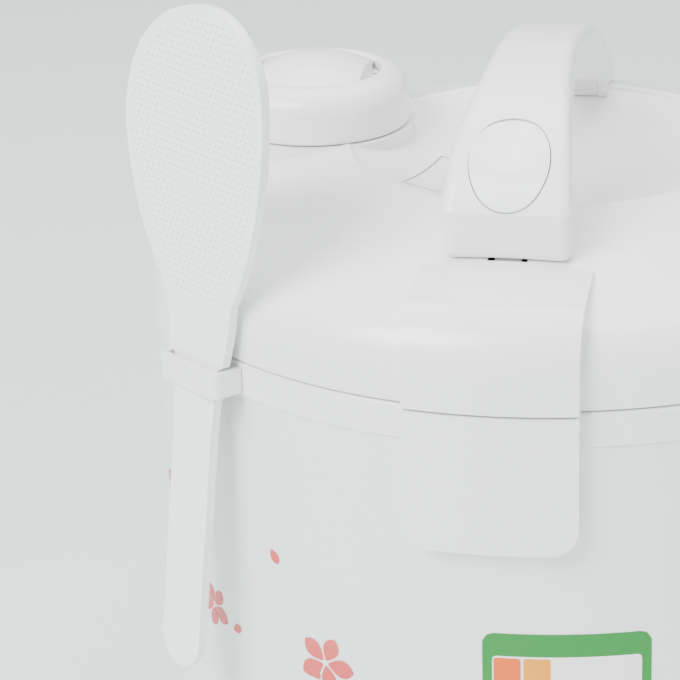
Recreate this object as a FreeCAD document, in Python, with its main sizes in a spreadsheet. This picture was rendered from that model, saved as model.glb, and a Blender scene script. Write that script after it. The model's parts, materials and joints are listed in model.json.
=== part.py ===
"""Jar rice cooker: round body, hinged domed lid with a carrying handle, steam cap and paddle holder.

Millimetres, +Z up, front towards -Y. The origin is on the body's axis at the plane it stands on.
"""
import FreeCAD, Part
import math
import os

import Sketcher

V = FreeCAD.Vector

# name: (value, what it is). Lengths in mm, angles in degrees.
SIZES = {
    "ring_radius": (130.0, "outside of the plastic collar and of the lid's rim"),
    "seam_height": (180.0, "height of the seam between body and lid"),
    "seam_gap": (0.8, "gap between collar and lid"),
    "plastic_wall": (2.5, "wall of the moulded plastic shells"),
    "sheet_wall": (0.8, "wall of the sheet steel shells"),
    "seat_gap": (0.3, "running clearance between loose pieces"),
    "foot_drop": (4.0, "height of the rubber feet"),
    "foot_radius": (9.0, "radius of a foot"),
    "foot_circle": (100.0, "distance of the feet from the axis"),
    "base_depth": (18.0, "height of the base cover's wall"),
    "casing_top_radius": (129.4, "casing radius under the collar"),
    "casing_foot_radius": (127.6, "casing radius at the base"),
    "collar_depth": (11.6, "height of the collar's outer wall"),
    "collar_step": (4.8, "depth of the step that the pot's rim lies on, below the seam"),
    "rim_opening": (117.3, "radius of the opening inside the collar, around the pot's rim"),
    "well_radius": (113.0, "inside radius of the steel well"),
    "well_floor": (44.0, "height of the well's floor"),
    "leg_radius": (4.0, "radius of the well's legs"),
    "leg_circle": (105.0, "distance of the legs from the axis"),
    "leg_angle": (35.0, "angle of the first leg from the X axis"),
    "screw_radius": (1.7, "shank radius of the body's screws"),
    "screw_head": (3.6, "head radius of the screws"),
    "screw_head_height": (1.7, "height of a screw's head"),
    "plate_radius": (88.0, "radius of the heating plate"),
    "plate_base": (50.0, "height of the heating plate's underside"),
    "plate_thickness": (8.0, "thickness of the heating plate"),
    "plate_bore": (20.0, "radius of the plate's middle hole"),
    "element_circle": (62.0, "radius of the heating element's ring"),
    "element_radius": (3.5, "radius of the heating element's tube"),
    "pot_radius": (111.5, "outside radius of the inner pot"),
    "pot_wall": (1.6, "wall of the inner pot"),
    "pot_rim_radius": (116.5, "radius of the pot's rim"),
    "pot_corner": (14.0, "outside radius of the pot's bottom corner"),
    "sensor_radius": (17.0, "radius of the thermostat's cap"),
    "sensor_travel": (3.0, "how far the thermostat's cap sinks"),
    "magnet_lift": (5.0, "how far the magnet rises when the key is pressed"),
    "pivot_back": (50.0, "distance of the switch lever's pivot in front of the axis"),
    "pivot_height": (26.0, "height of the switch lever's pivot"),
    "pivot_radius": (1.5, "radius of the lever pins"),
    "pin_clearance": (0.06, "radial clearance of pins in what turns on them"),
    "panel_radius": (134.6, "radius of the front latch panel's face"),
    "panel_width": (52.0, "width of the front latch panel"),
    "panel_drop": (44.0, "how far the latch panel reaches below the seam"),
    "panel_corner": (8.5, "corner radius at the panel's lower end"),
    "panel_rise": (12.0, "height of the straight part of the lid's wall above its lower edge level"),
    "shoulder_radius": (16.0, "radius of the lid's shoulder"),
    "shoulder_angle": (70.0, "angle that the shoulder turns through"),
    "dome_radius": (400.0, "radius of the lid's dome in section"),
    "rim_radius": (66.0, "radius of the top of the dish's rim"),
    "dome_top": (40.5, "height of the dish's rim above the seam"),
    "dish_edge": (63.0, "radius at which the hollow starts"),
    "dish_edge_drop": (1.2, "drop from the rim's top to the hollow's edge"),
    "dish_depth": (13.5, "drop from the rim's top to the hollow's middle"),
    "frame_thickness": (2.5, "thickness of the lid's lower frame"),
    "vent_x": (-80.0, "steam cap's centre, X"),
    "vent_y": (17.0, "steam cap's centre, Y"),
    "vent_radius": (31.0, "steam cap's radius"),
    "vent_seat": (39.6, "height of the steam cap's socket above the seam"),
    "vent_height": (17.6, "height of the steam cap"),
    "vent_mouth": (21.7, "radius of the recess in the cap's top"),
    "vent_bore": (11.0, "radius of the socket's bore"),
    "handle_front": (98.3, "how far the handle's nose stands in front of the axis"),
    "handle_back": (87.0, "how far the handle's end stands behind the axis"),
    "handle_top": (81.3, "height of the handle's top above the seam"),
    "handle_half_front": (20.3, "half width of the handle at its nose"),
    "handle_half_back": (12.4, "half width of the handle at its back"),
    "handle_wall": (3.0, "wall of the handle's shell"),
    "handle_slot": (9.5, "half width of the handle's hollow"),
    "button_out": (88.5, "distance of the button's centre in front of the axis"),
    "button_up": (62.3, "height of the button's centre above the seam"),
    "button_tilt": (43.5, "slope of the button's face from level"),
    "button_half_width": (12.0, "half width of the oval button"),
    "button_half_length": (15.8, "half length of the oval button"),
    "button_end_radius": (10.4, "radius of the oval's ends"),
    "button_proud": (0.8, "how far the button stands out of the handle"),
    "button_depth": (9.0, "how far the button reaches into the handle"),
    "button_stroke": (4.5, "how far the button can be pressed"),
    "button_skirt": (0.8, "how much wider the button is below its shoulder"),
    "button_shoulder": (5.5, "depth of the shoulder that keeps the button in"),
    "nose_radius": (45.0, "radius of the handle's nose in section"),
    "latch_out": (117.5, "distance of the latch pivot in front of the axis"),
    "latch_up": (17.5, "height of the latch pivot above the seam"),
    "latch_width": (8.0, "width of the latch lever"),
    "slot_half_width": (9.0, "half width of the latch slot"),
    "hinge_back": (136.5, "distance of the hinge pin behind the axis"),
    "hinge_up": (6.0, "height of the hinge pin above the seam"),
    "hinge_pin_radius": (2.5, "radius of the hinge pin"),
    "knuckle_radius": (6.0, "radius of the hinge knuckles"),
    "ear_inner": (26.0, "distance of the collar's hinge ears from the middle"),
    "ear_width": (13.0, "width of a hinge ear"),
    "spring_bay": (11.0, "half width of the gap that holds the hinge spring"),
    "console_radius": (131.0, "radius of the control panel's face"),
    "console_bottom": (14.0, "height of the control panel's lower edge"),
    "console_top": (62.0, "height of the control panel's upper edge"),
    "console_angle": (30.0, "angle that the control panel covers"),
    "lamp_offset": (20.0, "distance of the lamps from the middle"),
    "lamp_height": (52.0, "height of the lamps"),
    "lens_radius": (3.0, "radius of a lamp lens"),
    "inlet_bottom": (24.6, "height of the inlet's underside"),
    "inlet_half_width": (13.0, "half width of the inlet"),
    "inlet_height": (17.4, "height of the inlet"),
    "collector_bottom": (118.0, "height of the dew collector's floor"),
    "collector_half_width": (22.0, "half width of the dew collector"),
    "holder_angle": (-130.0, "direction that the paddle holder faces"),
    "holder_band": (2.3, "thickness of the holder's band"),
    "holder_height": (7.8, "height of the holder's band"),
    "holder_drop": (2.0, "drop from the seam to the band's upper edge"),
    "paddle_offset": (-10.2, "paddle's middle, sideways from the holder's direction"),
    "paddle_out": (133.5, "distance of the paddle's blade from the axis"),
    "paddle_thickness": (3.0, "thickness of the paddle"),
    "paddle_top": (111.0, "height of the blade's top above the seam"),
    "paddle_tip": (102.0, "how far the paddle's grip reaches below the seam"),
    "blade_left": (32.6, "width of the blade from the grip's middle to its left edge"),
    "blade_right": (36.4, "width of the blade from the grip's middle to its right edge"),
    "blade_crown": (12.4, "distance of the blade's highest point from the grip's middle"),
    "grip_half_width": (9.5, "half width of the grip"),
    "neck_half_width": (11.0, "half width of the paddle where it enters the holder"),
    "grip_lean": (7.0, "lean of the grip away from the blade"),
}


class Size:
    """A size with its value and the sheet expression that gives it."""

    def __init__(self, value, text):
        self.value = value
        self.text = text

    @staticmethod
    def of(other):
        return other if isinstance(other, Size) else Size(float(other), repr(float(other)))

    def join(self, sign, other, value, swap=False):
        first, second = (Size.of(other), self) if swap else (self, Size.of(other))
        return Size(value, f"({first.text} {sign} {second.text})")

    def __add__(self, other):
        return self.join("+", other, self.value + Size.of(other).value)

    def __radd__(self, other):
        return self.join("+", other, Size.of(other).value + self.value, swap=True)

    def __sub__(self, other):
        return self.join("-", other, self.value - Size.of(other).value)

    def __rsub__(self, other):
        return self.join("-", other, Size.of(other).value - self.value, swap=True)

    def __mul__(self, other):
        return self.join("*", other, self.value * Size.of(other).value)

    def __rmul__(self, other):
        return self.join("*", other, Size.of(other).value * self.value, swap=True)

    def __truediv__(self, other):
        return self.join("/", other, self.value / Size.of(other).value)

    def __neg__(self):
        return Size(-self.value, f"(0 - {self.text})")


def sine(angle):
    angle = Size.of(angle)
    return Size(math.sin(math.radians(angle.value)), f"sin({angle.text})")


def cosine(angle):
    angle = Size.of(angle)
    return Size(math.cos(math.radians(angle.value)), f"cos({angle.text})")


def tangent(angle):
    angle = Size.of(angle)
    return Size(math.tan(math.radians(angle.value)), f"tan({angle.text})")


def root(size):
    return Size(math.sqrt(size.value), f"sqrt({size.text})")


def cap_radius(reach, rise):
    """Radius of a ball that rises this much over this reach."""
    return (reach * reach + rise * rise) / (2 * rise)


def turned(points, angle):
    """Points turned about the origin."""
    return [(x * cosine(angle) - y * sine(angle), x * sine(angle) + y * cosine(angle)) for x, y in points]


class Sheet:
    """The sizes of the sheet, read as attributes: S.ring_radius and so on."""

    def __getattr__(self, name):
        return Size(SIZES[name][0], f"Sizes.{name}")


S = Sheet()
doc = FreeCAD.newDocument("RiceCooker")
sheet = doc.addObject("Spreadsheet::Sheet", "Sizes")
for row, (alias, (number, note)) in enumerate(SIZES.items(), start=1):
    sheet.set(f"A{row}", str(number))
    sheet.set(f"B{row}", note)
    sheet.setAlias(f"A{row}", alias)
doc.recompute()

PIECES = []


def set_size(thing, prop, size):
    """Bind a property to the sheet, or set it when the size is a plain number."""
    if isinstance(size, Size):
        thing.setExpression(prop, size.text)
    else:
        setattr(thing, prop, size)


# ---------------------------------------------------------------- sketches

def new_body(label):
    body = doc.addObject("PartDesign::Body", label)
    body.Label = label
    PIECES.append(body)
    return body


def new_sketch(body, role, lift=0, tilt=None, at=None):
    """A sketch on one of the body's planes, lifted along its normal or tilted about X."""
    sk = body.newObject("Sketcher::SketchObject", f"{body.Name}_sketch")
    plane = next(item for item in body.Origin.OriginFeatures if item.Role == role)
    sk.AttachmentSupport = [(plane, "")]
    sk.MapMode = "FlatFace"
    if tilt is not None:
        sk.AttachmentOffset = FreeCAD.Placement(V(0, 0, 0), FreeCAD.Rotation(V(1, 0, 0), tilt.value))
        sk.setExpression("AttachmentOffset.Rotation.Angle", tilt.text)
        for axis, size in zip("yz", at):
            sk.setExpression(f"AttachmentOffset.Base.{axis}", size.text)
    elif isinstance(lift, Size):
        sk.setExpression("AttachmentOffset.Base.z", lift.text)
    else:
        sk.AttachmentOffset = FreeCAD.Placement(V(0, 0, lift), FreeCAD.Rotation())
    return sk


def bind(sk, constraint, size):
    index = sk.addConstraint(constraint)
    if isinstance(size, Size):
        sk.renameConstraint(index, f"c{index}")
        sk.setExpression(f"Constraints.c{index}", size.text)


def pin_across(sk, geo, pos, x):
    """Fix a point's distance from the sketch's vertical axis."""
    value = Size.of(x).value
    if value == 0:
        sk.addConstraint(Sketcher.Constraint("PointOnObject", geo, pos, -2))
    else:
        bind(sk, Sketcher.Constraint("DistanceX", -1, 1, geo, pos, value), x)


def pin_up(sk, geo, pos, y):
    """Fix a point's distance from the sketch's horizontal axis."""
    value = Size.of(y).value
    if value == 0:
        sk.addConstraint(Sketcher.Constraint("PointOnObject", geo, pos, -1))
    else:
        bind(sk, Sketcher.Constraint("DistanceY", -1, 1, geo, pos, value), y)


def pin_point(sk, geo, pos, x, y):
    pin_across(sk, geo, pos, x)
    pin_up(sk, geo, pos, y)


def pin_arc(sk, geo, start, end, radius):
    """Fix an arc between two fixed points: by its radius, or by its centre when it is a half circle."""
    x0, y0, x1, y1 = (Size.of(size) for size in (start[0], start[1], end[0], end[1]))
    chord = math.hypot(x1.value - x0.value, y1.value - y0.value)
    turn = Size.of(radius)
    turn = turn if turn.value > 0 else -turn
    if abs(chord / 2 - turn.value) > 1e-6:
        bind(sk, Sketcher.Constraint("Radius", geo, turn.value), turn)
    elif abs(x1.value - x0.value) > abs(y1.value - y0.value):
        pin_up(sk, geo, 3, (y0 + y1) / 2)
    else:
        pin_across(sk, geo, 3, (x0 + x1) / 2)


def arc_centre(start, end, radius):
    """Centre of the arc from start to end: a positive radius turns left, a negative one right."""
    mid = (start + end) / 2
    chord = end - start
    half = chord.Length / 2
    reach = math.sqrt(max(radius * radius - half * half, 0.0))
    left = V(-chord.y, chord.x, 0).normalize()
    return mid + left * (reach if radius > 0 else -reach)


def add_arc(sk, start, end, radius):
    """Add an arc and say which of its ends is the start."""
    centre = arc_centre(start, end, radius)
    first, last = (start, end) if radius > 0 else (end, start)
    a0 = math.atan2(first.y - centre.y, first.x - centre.x)
    a1 = math.atan2(last.y - centre.y, last.x - centre.x)
    if a1 <= a0:
        a1 += 2 * math.pi
    geo = sk.addGeometry(Part.ArcOfCircle(Part.Circle(centre, V(0, 0, 1), abs(radius)), a0, a1))
    return geo, (1, 2) if radius > 0 else (2, 1)


def outline(sk, points):
    """Closed outline. A point is (x, y), or (x, y, radius) when an arc leads to it."""
    ends = []
    count = len(points)
    places = [V(Size.of(p[0]).value, Size.of(p[1]).value, 0) for p in points]
    for i in range(count):
        after = points[(i + 1) % count]
        start, end = places[i], places[(i + 1) % count]
        if len(after) == 3:
            geo, order = add_arc(sk, start, end, Size.of(after[2]).value)
            ends.append((geo, order, after[2]))
        else:
            ends.append((sk.addGeometry(Part.LineSegment(start, end)), (1, 2), None))
    for i in range(count):
        geo, order, radius = ends[i]
        other, other_order, _ = ends[(i + 1) % count]
        sk.addConstraint(Sketcher.Constraint("Coincident", geo, order[1], other, other_order[0]))
        pin_point(sk, geo, order[0], points[i][0], points[i][1])
        if radius is not None:
            pin_arc(sk, geo, points[i], points[(i + 1) % count], radius)


def circle(sk, x, y, radius):
    centre = V(Size.of(x).value, Size.of(y).value, 0)
    geo = sk.addGeometry(Part.Circle(centre, V(0, 0, 1), Size.of(radius).value))
    pin_point(sk, geo, 3, x, y)
    bind(sk, Sketcher.Constraint("Radius", geo, Size.of(radius).value), radius)


def rectangle(x0, x1, y0, y1):
    return [(x0, y0), (x1, y0), (x1, y1), (x0, y1)]


def oval(half_width, half_length, end_radius):
    """Oval of four tangent arcs about the origin."""
    reach = half_length - end_radius
    side = (reach * reach + half_width * half_width - end_radius * end_radius) \
        / (2 * (half_width - end_radius))
    share = end_radius / (side - end_radius)
    x = share * (side - half_width)
    y = reach + share * reach
    return [(x, -y), (x, y, side), (-x, y, end_radius), (-x, -y, side), (x, -y, end_radius)][:4], end_radius


def draw_oval(sk, half_width, half_length, end_radius):
    points, last = oval(half_width, half_length, end_radius)
    first = points[0]
    outline(sk, [(first[0], first[1], last)] + points[1:])


# ---------------------------------------------------------------- features

def feature(body, kind, sk, **sizes):
    made = body.newObject(kind, f"{body.Name}_{kind.split('::')[1].lower()}")
    made.Profile = sk
    for prop, size in sizes.items():
        set_size(made, prop, size)
    sk.Visibility = False
    return made


def revolve(body, points, angle=360.0, cut=False):
    """Turn an (r, z) outline about the Z axis, evenly about the front when it isn't a full turn."""
    sk = new_sketch(body, "XZ_Plane" if not isinstance(angle, Size) else "YZ_Plane")
    outline(sk, points)
    made = feature(body, "PartDesign::Groove" if cut else "PartDesign::Revolution", sk, Angle=angle)
    made.ReferenceAxis = (sk, ["V_Axis"])
    made.Midplane = isinstance(angle, Size)
    return made


def pad(body, role, points, length, lift=0, symmetric=False, holes=()):
    sk = new_sketch(body, role, lift)
    if points:
        outline(sk, points)
    for hole in holes:
        circle(sk, *hole)
    made = feature(body, "PartDesign::Pad", sk, Length=length)
    if symmetric:
        made.SideType = "Symmetric"
    return made


def pocket(body, role, points, length, lift=0, symmetric=False, holes=(), up=False, frame=None):
    """Cut along the sketch plane's normal: downwards, or upwards when up is set."""
    sk = new_sketch(body, role, lift)
    for loop in (points, frame):
        if loop:
            outline(sk, loop)
    for hole in holes:
        circle(sk, *hole)
    made = feature(body, "PartDesign::Pocket", sk, Length=length)
    made.Reversed = up
    if symmetric:
        made.SideType = "Symmetric"
    return made


def round_edges(body, radius, wanted):
    """Fillet the edges of the body's last feature that the test picks."""
    doc.recompute()
    base = body.Tip
    names = [f"Edge{i}" for i, edge in enumerate(base.Shape.Edges, start=1) if wanted(edge)]
    made = body.newObject("PartDesign::Fillet", f"{body.Name}_fillet")
    made.Base = (base, names)
    set_size(made, "Radius", radius)
    return made


def cylinder(name, radius, height, x=0, y=0, z=0, along=None):
    made = doc.addObject("Part::Cylinder", name)
    set_size(made, "Radius", radius)
    set_size(made, "Height", height)
    turns = {"X": FreeCAD.Rotation(V(0, 1, 0), 90), "Y": FreeCAD.Rotation(V(1, 0, 0), -90)}
    return put(made, x, y, z, turns.get(along, FreeCAD.Rotation()))


def block(name, x0, x1, y0, y1, z0, z1):
    made = doc.addObject("Part::Box", name)
    for prop, size in (("Length", x1 - x0), ("Width", y1 - y0), ("Height", z1 - z0)):
        set_size(made, prop, size)
    return put(made, x0, y0, z0)


def put(made, x, y, z, rotation=None):
    made.Placement = FreeCAD.Placement(V(0, 0, 0), rotation or FreeCAD.Rotation())
    for axis, size in zip("xyz", (x, y, z)):
        made.setExpression(f"Placement.Base.{axis}", Size.of(size).text)
    return made


def fuse(label, parts):
    """Join solids into one piece."""
    made = doc.addObject("Part::MultiFuse", label)
    made.Shapes = parts
    made.Refine = True
    return made


def cut(label, base, tools):
    tool = tools[0] if len(tools) == 1 else fuse(f"{label}_tools", tools)
    made = doc.addObject("Part::Cut", label)
    made.Base = base
    made.Tool = tool
    return made


def group(label, parts):
    """Alike pieces that stay separate solids in one node."""
    made = doc.addObject("Part::Compound", label)
    made.Links = parts
    return made


def piece(made, label):
    made.Label = label
    PIECES.append(made)
    return made


def coil(label, radius, wire, height, turns):
    """Compression spring standing on its local origin."""
    helix = doc.addObject("Part::Helix", f"{label}_path")
    for prop, size in (("Radius", radius), ("Height", height - wire), ("Pitch", (height - wire) / turns)):
        set_size(helix, prop, size)
    ring = doc.addObject("Part::Circle", f"{label}_wire")
    set_size(ring, "Radius", wire / 2)
    ring.Placement = FreeCAD.Placement(V(0, 0, 0), FreeCAD.Rotation(V(1, 0, 0), 90))
    ring.setExpression("Placement.Base.x", Size.of(radius).text)
    helix.setExpression("Placement.Base.z", Size.of(wire / 2).text)
    ring.setExpression("Placement.Base.z", Size.of(wire / 2).text)
    sweep = doc.addObject("Part::Sweep", label)
    sweep.Sections = [ring]
    sweep.Spine = (helix, [])
    sweep.Solid = True
    sweep.Frenet = True
    return sweep


# ---------------------------------------------------------------- shared places

SEAM = S.seam_height
RING_TOP = SEAM - S.seam_gap / 2
LID_FOOT = SEAM + S.seam_gap / 2
COLLAR_FOOT = SEAM - S.collar_depth
CASING_FOOT = S.foot_drop + S.base_depth
BASE_FLOOR = S.foot_drop + S.plastic_wall
STEP_TOP = SEAM - S.collar_step
WELL_OUTER = S.well_radius + S.sheet_wall
WELL_TOP = COLLAR_FOOT - S.sheet_wall - 1.6
PLATE_TOP = S.plate_base + S.plate_thickness
POT_FLOOR = PLATE_TOP + S.seat_gap
POT_TOP = STEP_TOP + S.seat_gap + S.pot_wall
FRAME_FOOT = LID_FOOT + 0.2
FRAME_TOP = FRAME_FOOT + S.frame_thickness
WALL_TOP = SEAM + S.panel_rise - 2.0
SHOULDER_CENTRE = S.ring_radius - S.shoulder_radius
DOME_TOP = SEAM + S.dome_top
PIVOT_Y = -S.pivot_back
LATCH_Y = -S.latch_out
LATCH_Z = SEAM + S.latch_up
HINGE_Z = SEAM + S.hinge_up
BUTTON_Y = -S.button_out
BUTTON_Z = SEAM + S.button_up
VENT_SEAT = SEAM + S.vent_seat
LATCH_EARS = S.latch_width / 2 + 4.6
LAMP_BOARD = Size.of(117.5)
COLLECTOR_TOP = RING_TOP - 17.6 - S.seat_gap
TONGUE_HALF = Size.of(5.0)
TONGUE_FOOT = COLLECTOR_TOP + 4


def legs():
    """Places of the four legs, two on each side."""
    out = S.leg_circle * cosine(S.leg_angle)
    side = S.leg_circle * sine(S.leg_angle)
    return [(out * sx, side * sy) for sx in (1, -1) for sy in (1, -1)]


def holder_walls():
    """Middles of the paddle holder's two side walls, sideways from the way it faces."""
    reach = S.neck_half_width + 1.3 + S.holder_band / 2
    return [S.paddle_offset - reach, S.paddle_offset + reach]


def button_point(along, out):
    """(y, z) of a point given along the button's slope and out of its face."""
    return (BUTTON_Y + along * cosine(S.button_tilt) - out * sine(S.button_tilt),
            BUTTON_Z + along * sine(S.button_tilt) + out * cosine(S.button_tilt))


def lid_outer_points(gap):
    """The lid's outer face from its lower edge to its middle, lifted by a gap."""
    turn = S.shoulder_radius + gap
    edge = DOME_TOP - S.dish_edge_drop
    hollow = cap_radius(S.dish_edge, S.dish_depth - S.dish_edge_drop)
    return [
        (S.ring_radius + gap, LID_FOOT), (S.ring_radius + gap, WALL_TOP),
        (SHOULDER_CENTRE + turn * cosine(S.shoulder_angle), WALL_TOP + turn * sine(S.shoulder_angle), turn),
        (S.rim_radius, DOME_TOP + gap, S.dome_radius), (S.dish_edge, edge + gap, 2.4),
        (0, DOME_TOP - S.dish_depth + gap, -hollow)]


def lid_inner_points():
    """The lid's inner face from its middle to its lower edge."""
    wall = S.plastic_wall
    turn = S.shoulder_radius - wall
    ball = cap_radius(S.dish_edge, S.dish_depth - S.dish_edge_drop) + wall
    reach = S.dish_edge + 1.5
    low = DOME_TOP - S.dish_depth - wall
    return [
        (0, low), (reach, low + ball - root(ball * ball - reach * reach), ball),
        (S.rim_radius + 0.5, DOME_TOP - wall),
        (SHOULDER_CENTRE + turn * cosine(S.shoulder_angle), WALL_TOP + turn * sine(S.shoulder_angle),
         -(S.dome_radius - wall)),
        (S.ring_radius - wall, WALL_TOP, -turn), (S.ring_radius - wall, LID_FOOT)]


# ---------------------------------------------------------------- body shells

def base_cover():
    body = new_body("base_cover")
    outer = S.casing_foot_radius + 0.4
    wall = outer - S.plastic_wall
    lip = S.casing_foot_radius - S.sheet_wall - 0.2
    inner = lip - S.plastic_wall
    revolve(body, [
        (0, S.foot_drop), (outer - 5, S.foot_drop), (outer, S.foot_drop + 5, 5.0),
        (outer, CASING_FOOT), (lip, CASING_FOOT), (lip, CASING_FOOT + 5),
        (inner, CASING_FOOT + 5), (inner, CASING_FOOT - 2), (wall - 0.6, CASING_FOOT - 5),
        (wall - 0.6, BASE_FLOOR + 3), (wall - 3.6, BASE_FLOOR, -3.0), (0, BASE_FLOOR)])
    pocket(body, "XY_Plane", None, S.plastic_wall + 2, lift=BASE_FLOOR + 1,
           holes=[(x, y, S.screw_radius + 0.2) for x, y in legs()])
    notch = rectangle(-S.inlet_half_width - 0.4, S.inlet_half_width + 0.4, S.inlet_bottom - 0.8, CASING_FOOT + 6)
    pocket(body, "XZ_Plane", notch, 30, lift=-S.casing_foot_radius + 20)
    vent = pocket(body, "XY_Plane", rectangle(30, 78, -2, 2), S.plastic_wall + 2, lift=BASE_FLOOR + 1)
    pattern = body.newObject("PartDesign::PolarPattern", "base_cover_vents")
    pattern.Originals = [vent]
    pattern.Axis = (vent.Profile[0], ["N_Axis"])
    pattern.Angle = 360
    pattern.Occurrences = 10
    body.Tip = pattern


def feet():
    side = S.foot_circle * cosine(45)
    parts = [cylinder("foot", S.foot_radius, S.foot_drop, side * sx, side * sy)
             for sx in (1, -1) for sy in (1, -1)]
    piece(group("feet", parts), "feet")


def screw(name, radius, head, head_height, length, x, y, z, down=False):
    """Screw whose head's seat is at z: the shank goes up, or down when down is set."""
    if down:
        shank = cylinder(f"{name}_shank", radius, length, x, y, z - length)
        cap = cylinder(f"{name}_head", head, head_height, x, y, z)
    else:
        shank = cylinder(f"{name}_shank", radius, length, x, y, z)
        cap = cylinder(f"{name}_head", head, head_height, x, y, z - head_height)
    return fuse(name, [shank, cap])


def base_screws():
    parts = [screw("base_screw", S.screw_radius, S.screw_head, S.screw_head_height,
                   S.plastic_wall + 9, x, y, S.foot_drop) for x, y in legs()]
    piece(group("base_screws", parts), "base_screws")


def outer_casing():
    body = new_body("outer_casing")
    top = COLLAR_FOOT
    revolve(body, [
        (S.casing_foot_radius, CASING_FOOT), (S.casing_top_radius, top),
        (S.casing_top_radius - 8, top), (S.casing_top_radius - 8, top - S.sheet_wall),
        (S.casing_top_radius - S.sheet_wall, top - S.sheet_wall),
        (S.casing_foot_radius - S.sheet_wall, CASING_FOOT)])
    window = rectangle(-26, 26, S.console_bottom + 13, S.console_top - 3)
    pocket(body, "XZ_Plane", window, 30, lift=S.casing_foot_radius - 20, up=True)
    inlet = rectangle(-S.inlet_half_width - 0.2, S.inlet_half_width + 0.2,
                      S.inlet_bottom - 0.2, S.inlet_bottom + S.inlet_height + 0.2)
    pocket(body, "XZ_Plane", inlet, 30, lift=-S.casing_foot_radius + 20)


def upper_ring():
    body = new_body("upper_ring")
    outer = S.ring_radius
    step_in = S.well_radius + S.sheet_wall
    wall = S.plastic_wall
    revolve(body, [
        (outer - wall, COLLAR_FOOT), (outer - 0.8, COLLAR_FOOT), (outer, COLLAR_FOOT + 0.8, 0.8),
        (outer, RING_TOP - 1.0), (outer - 1.0, RING_TOP, 1.0),
        (S.rim_opening, RING_TOP), (S.rim_opening, STEP_TOP), (step_in, STEP_TOP),
        (step_in, WELL_TOP), (step_in + wall, WELL_TOP), (step_in + wall, STEP_TOP - wall),
        (S.rim_opening + wall, STEP_TOP - wall), (S.rim_opening + wall, RING_TOP - wall),
        (outer - wall, RING_TOP - wall)])
    sector = 2 * Size(math.degrees(math.asin(0.5 * SIZES["panel_width"][0] / SIZES["panel_radius"][0])),
                      "asin(Sizes.panel_width / Sizes.panel_radius / 2)")
    front_out = -S.panel_radius
    skirt = -(S.casing_top_radius + 0.7)
    revolve(body, [
        (front_out, SEAM - S.panel_drop), (front_out, RING_TOP), (-(outer - wall), RING_TOP),
        (-(outer - wall), COLLAR_FOOT + 0.4), (skirt, COLLAR_FOOT + 0.4), (skirt, SEAM - S.panel_drop)],
        angle=sector)
    round_edges(body, S.panel_corner, lower_panel_corner)
    catch = rectangle(-S.slot_half_width - 3, S.slot_half_width + 3, -(outer - 1.5), -S.rim_opening - 0.5)
    pad(body, "XY_Plane", catch, S.collar_depth - 2.5, lift=COLLAR_FOOT + 0.2)
    slot = rectangle(-S.slot_half_width, S.slot_half_width, -(outer + 1.5), -S.rim_opening - 2.2)
    pocket(body, "XY_Plane", slot, S.collar_depth - 1.6, lift=RING_TOP)
    back = S.hinge_back + S.knuckle_radius + 0.5
    span = S.ear_inner + S.ear_width
    pad(body, "XY_Plane", rectangle(-span, span, S.ring_radius - 7.5, back), 17.6, lift=RING_TOP - 17.6)
    clear = S.casing_top_radius + 0.4
    revolve(body, [(clear - 12, RING_TOP - 18), (clear, RING_TOP - 18), (clear, COLLAR_FOOT),
                   (clear - 12, COLLAR_FOOT)], cut=True)
    ear = [(S.hinge_back + S.knuckle_radius + 0.5, RING_TOP - 6),
           (S.hinge_back + S.knuckle_radius + 0.5, HINGE_Z),
           (S.hinge_back - S.knuckle_radius - 0.5, HINGE_Z, S.knuckle_radius + 0.5),
           (S.hinge_back - S.knuckle_radius - 0.5, RING_TOP - 6)]
    pad(body, "YZ_Plane", ear, S.ear_width, lift=S.ear_inner)
    pad(body, "YZ_Plane", ear, S.ear_width, lift=-S.ear_inner - S.ear_width)
    pocket(body, "YZ_Plane", None, 2 * span + 2, symmetric=True,
           holes=[(S.hinge_back, HINGE_Z, S.hinge_pin_radius + 0.02)])
    pocket(body, "XY_Plane", rectangle(-18, 18, S.casing_top_radius + 3.6, back - 7), 30, lift=RING_TOP + 1)
    tongue = rectangle(-TONGUE_HALF - S.seat_gap, TONGUE_HALF + S.seat_gap,
                       TONGUE_FOOT - S.seat_gap, TONGUE_FOOT + 2 + S.seat_gap)
    pocket(body, "XZ_Plane", tongue, 5, lift=-back - 0.5, up=True)
    for x in holder_walls():
        slot = rectangle(x - 0.9, x + 0.9, -outer - 3, -outer + wall + 1)
        pocket(body, "XY_Plane", turned(slot, S.holder_angle + 90), 6.6, lift=SEAM - S.holder_drop - 0.6)


def lower_panel_corner(edge):
    """The two lower corners of the latch panel run front to back at its lowest level."""
    box = edge.BoundBox
    low = SIZES["seam_height"][0] - SIZES["panel_drop"][0]
    flat = abs(box.ZMin - low) < 0.01 and abs(box.ZMax - low) < 0.01
    return flat and box.YMax < -120 and box.XLength < 1.5 and len(edge.Vertexes) == 2


def inner_shell():
    body = new_body("inner_shell")
    revolve(body, [
        (70, S.well_floor), (WELL_OUTER, S.well_floor), (WELL_OUTER, WELL_TOP - S.sheet_wall),
        (WELL_OUTER + 7, WELL_TOP - S.sheet_wall), (WELL_OUTER + 7, WELL_TOP),
        (S.well_radius, WELL_TOP), (S.well_radius, S.well_floor + S.sheet_wall),
        (70, S.well_floor + S.sheet_wall)])
    pad(body, "XY_Plane", None, S.well_floor - BASE_FLOOR, lift=BASE_FLOOR,
        holes=[(x, y, S.leg_radius) for x, y in legs()])
    pocket(body, "XY_Plane", None, 12, lift=BASE_FLOOR, up=True,
           holes=[(x, y, S.screw_radius + 0.05) for x, y in legs()])
    pocket(body, "XY_Plane", None, 2, lift=S.well_floor + 1, holes=[(x, y, 2.2) for x, y in plate_posts()])


def side_heater():
    body = new_body("side_heater")
    inner = WELL_OUTER + 0.3
    revolve(body, [(inner, 96), (inner + 1.5, 96), (inner + 1.5, 124), (inner, 124)])


# ---------------------------------------------------------------- heating and switching

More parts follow.
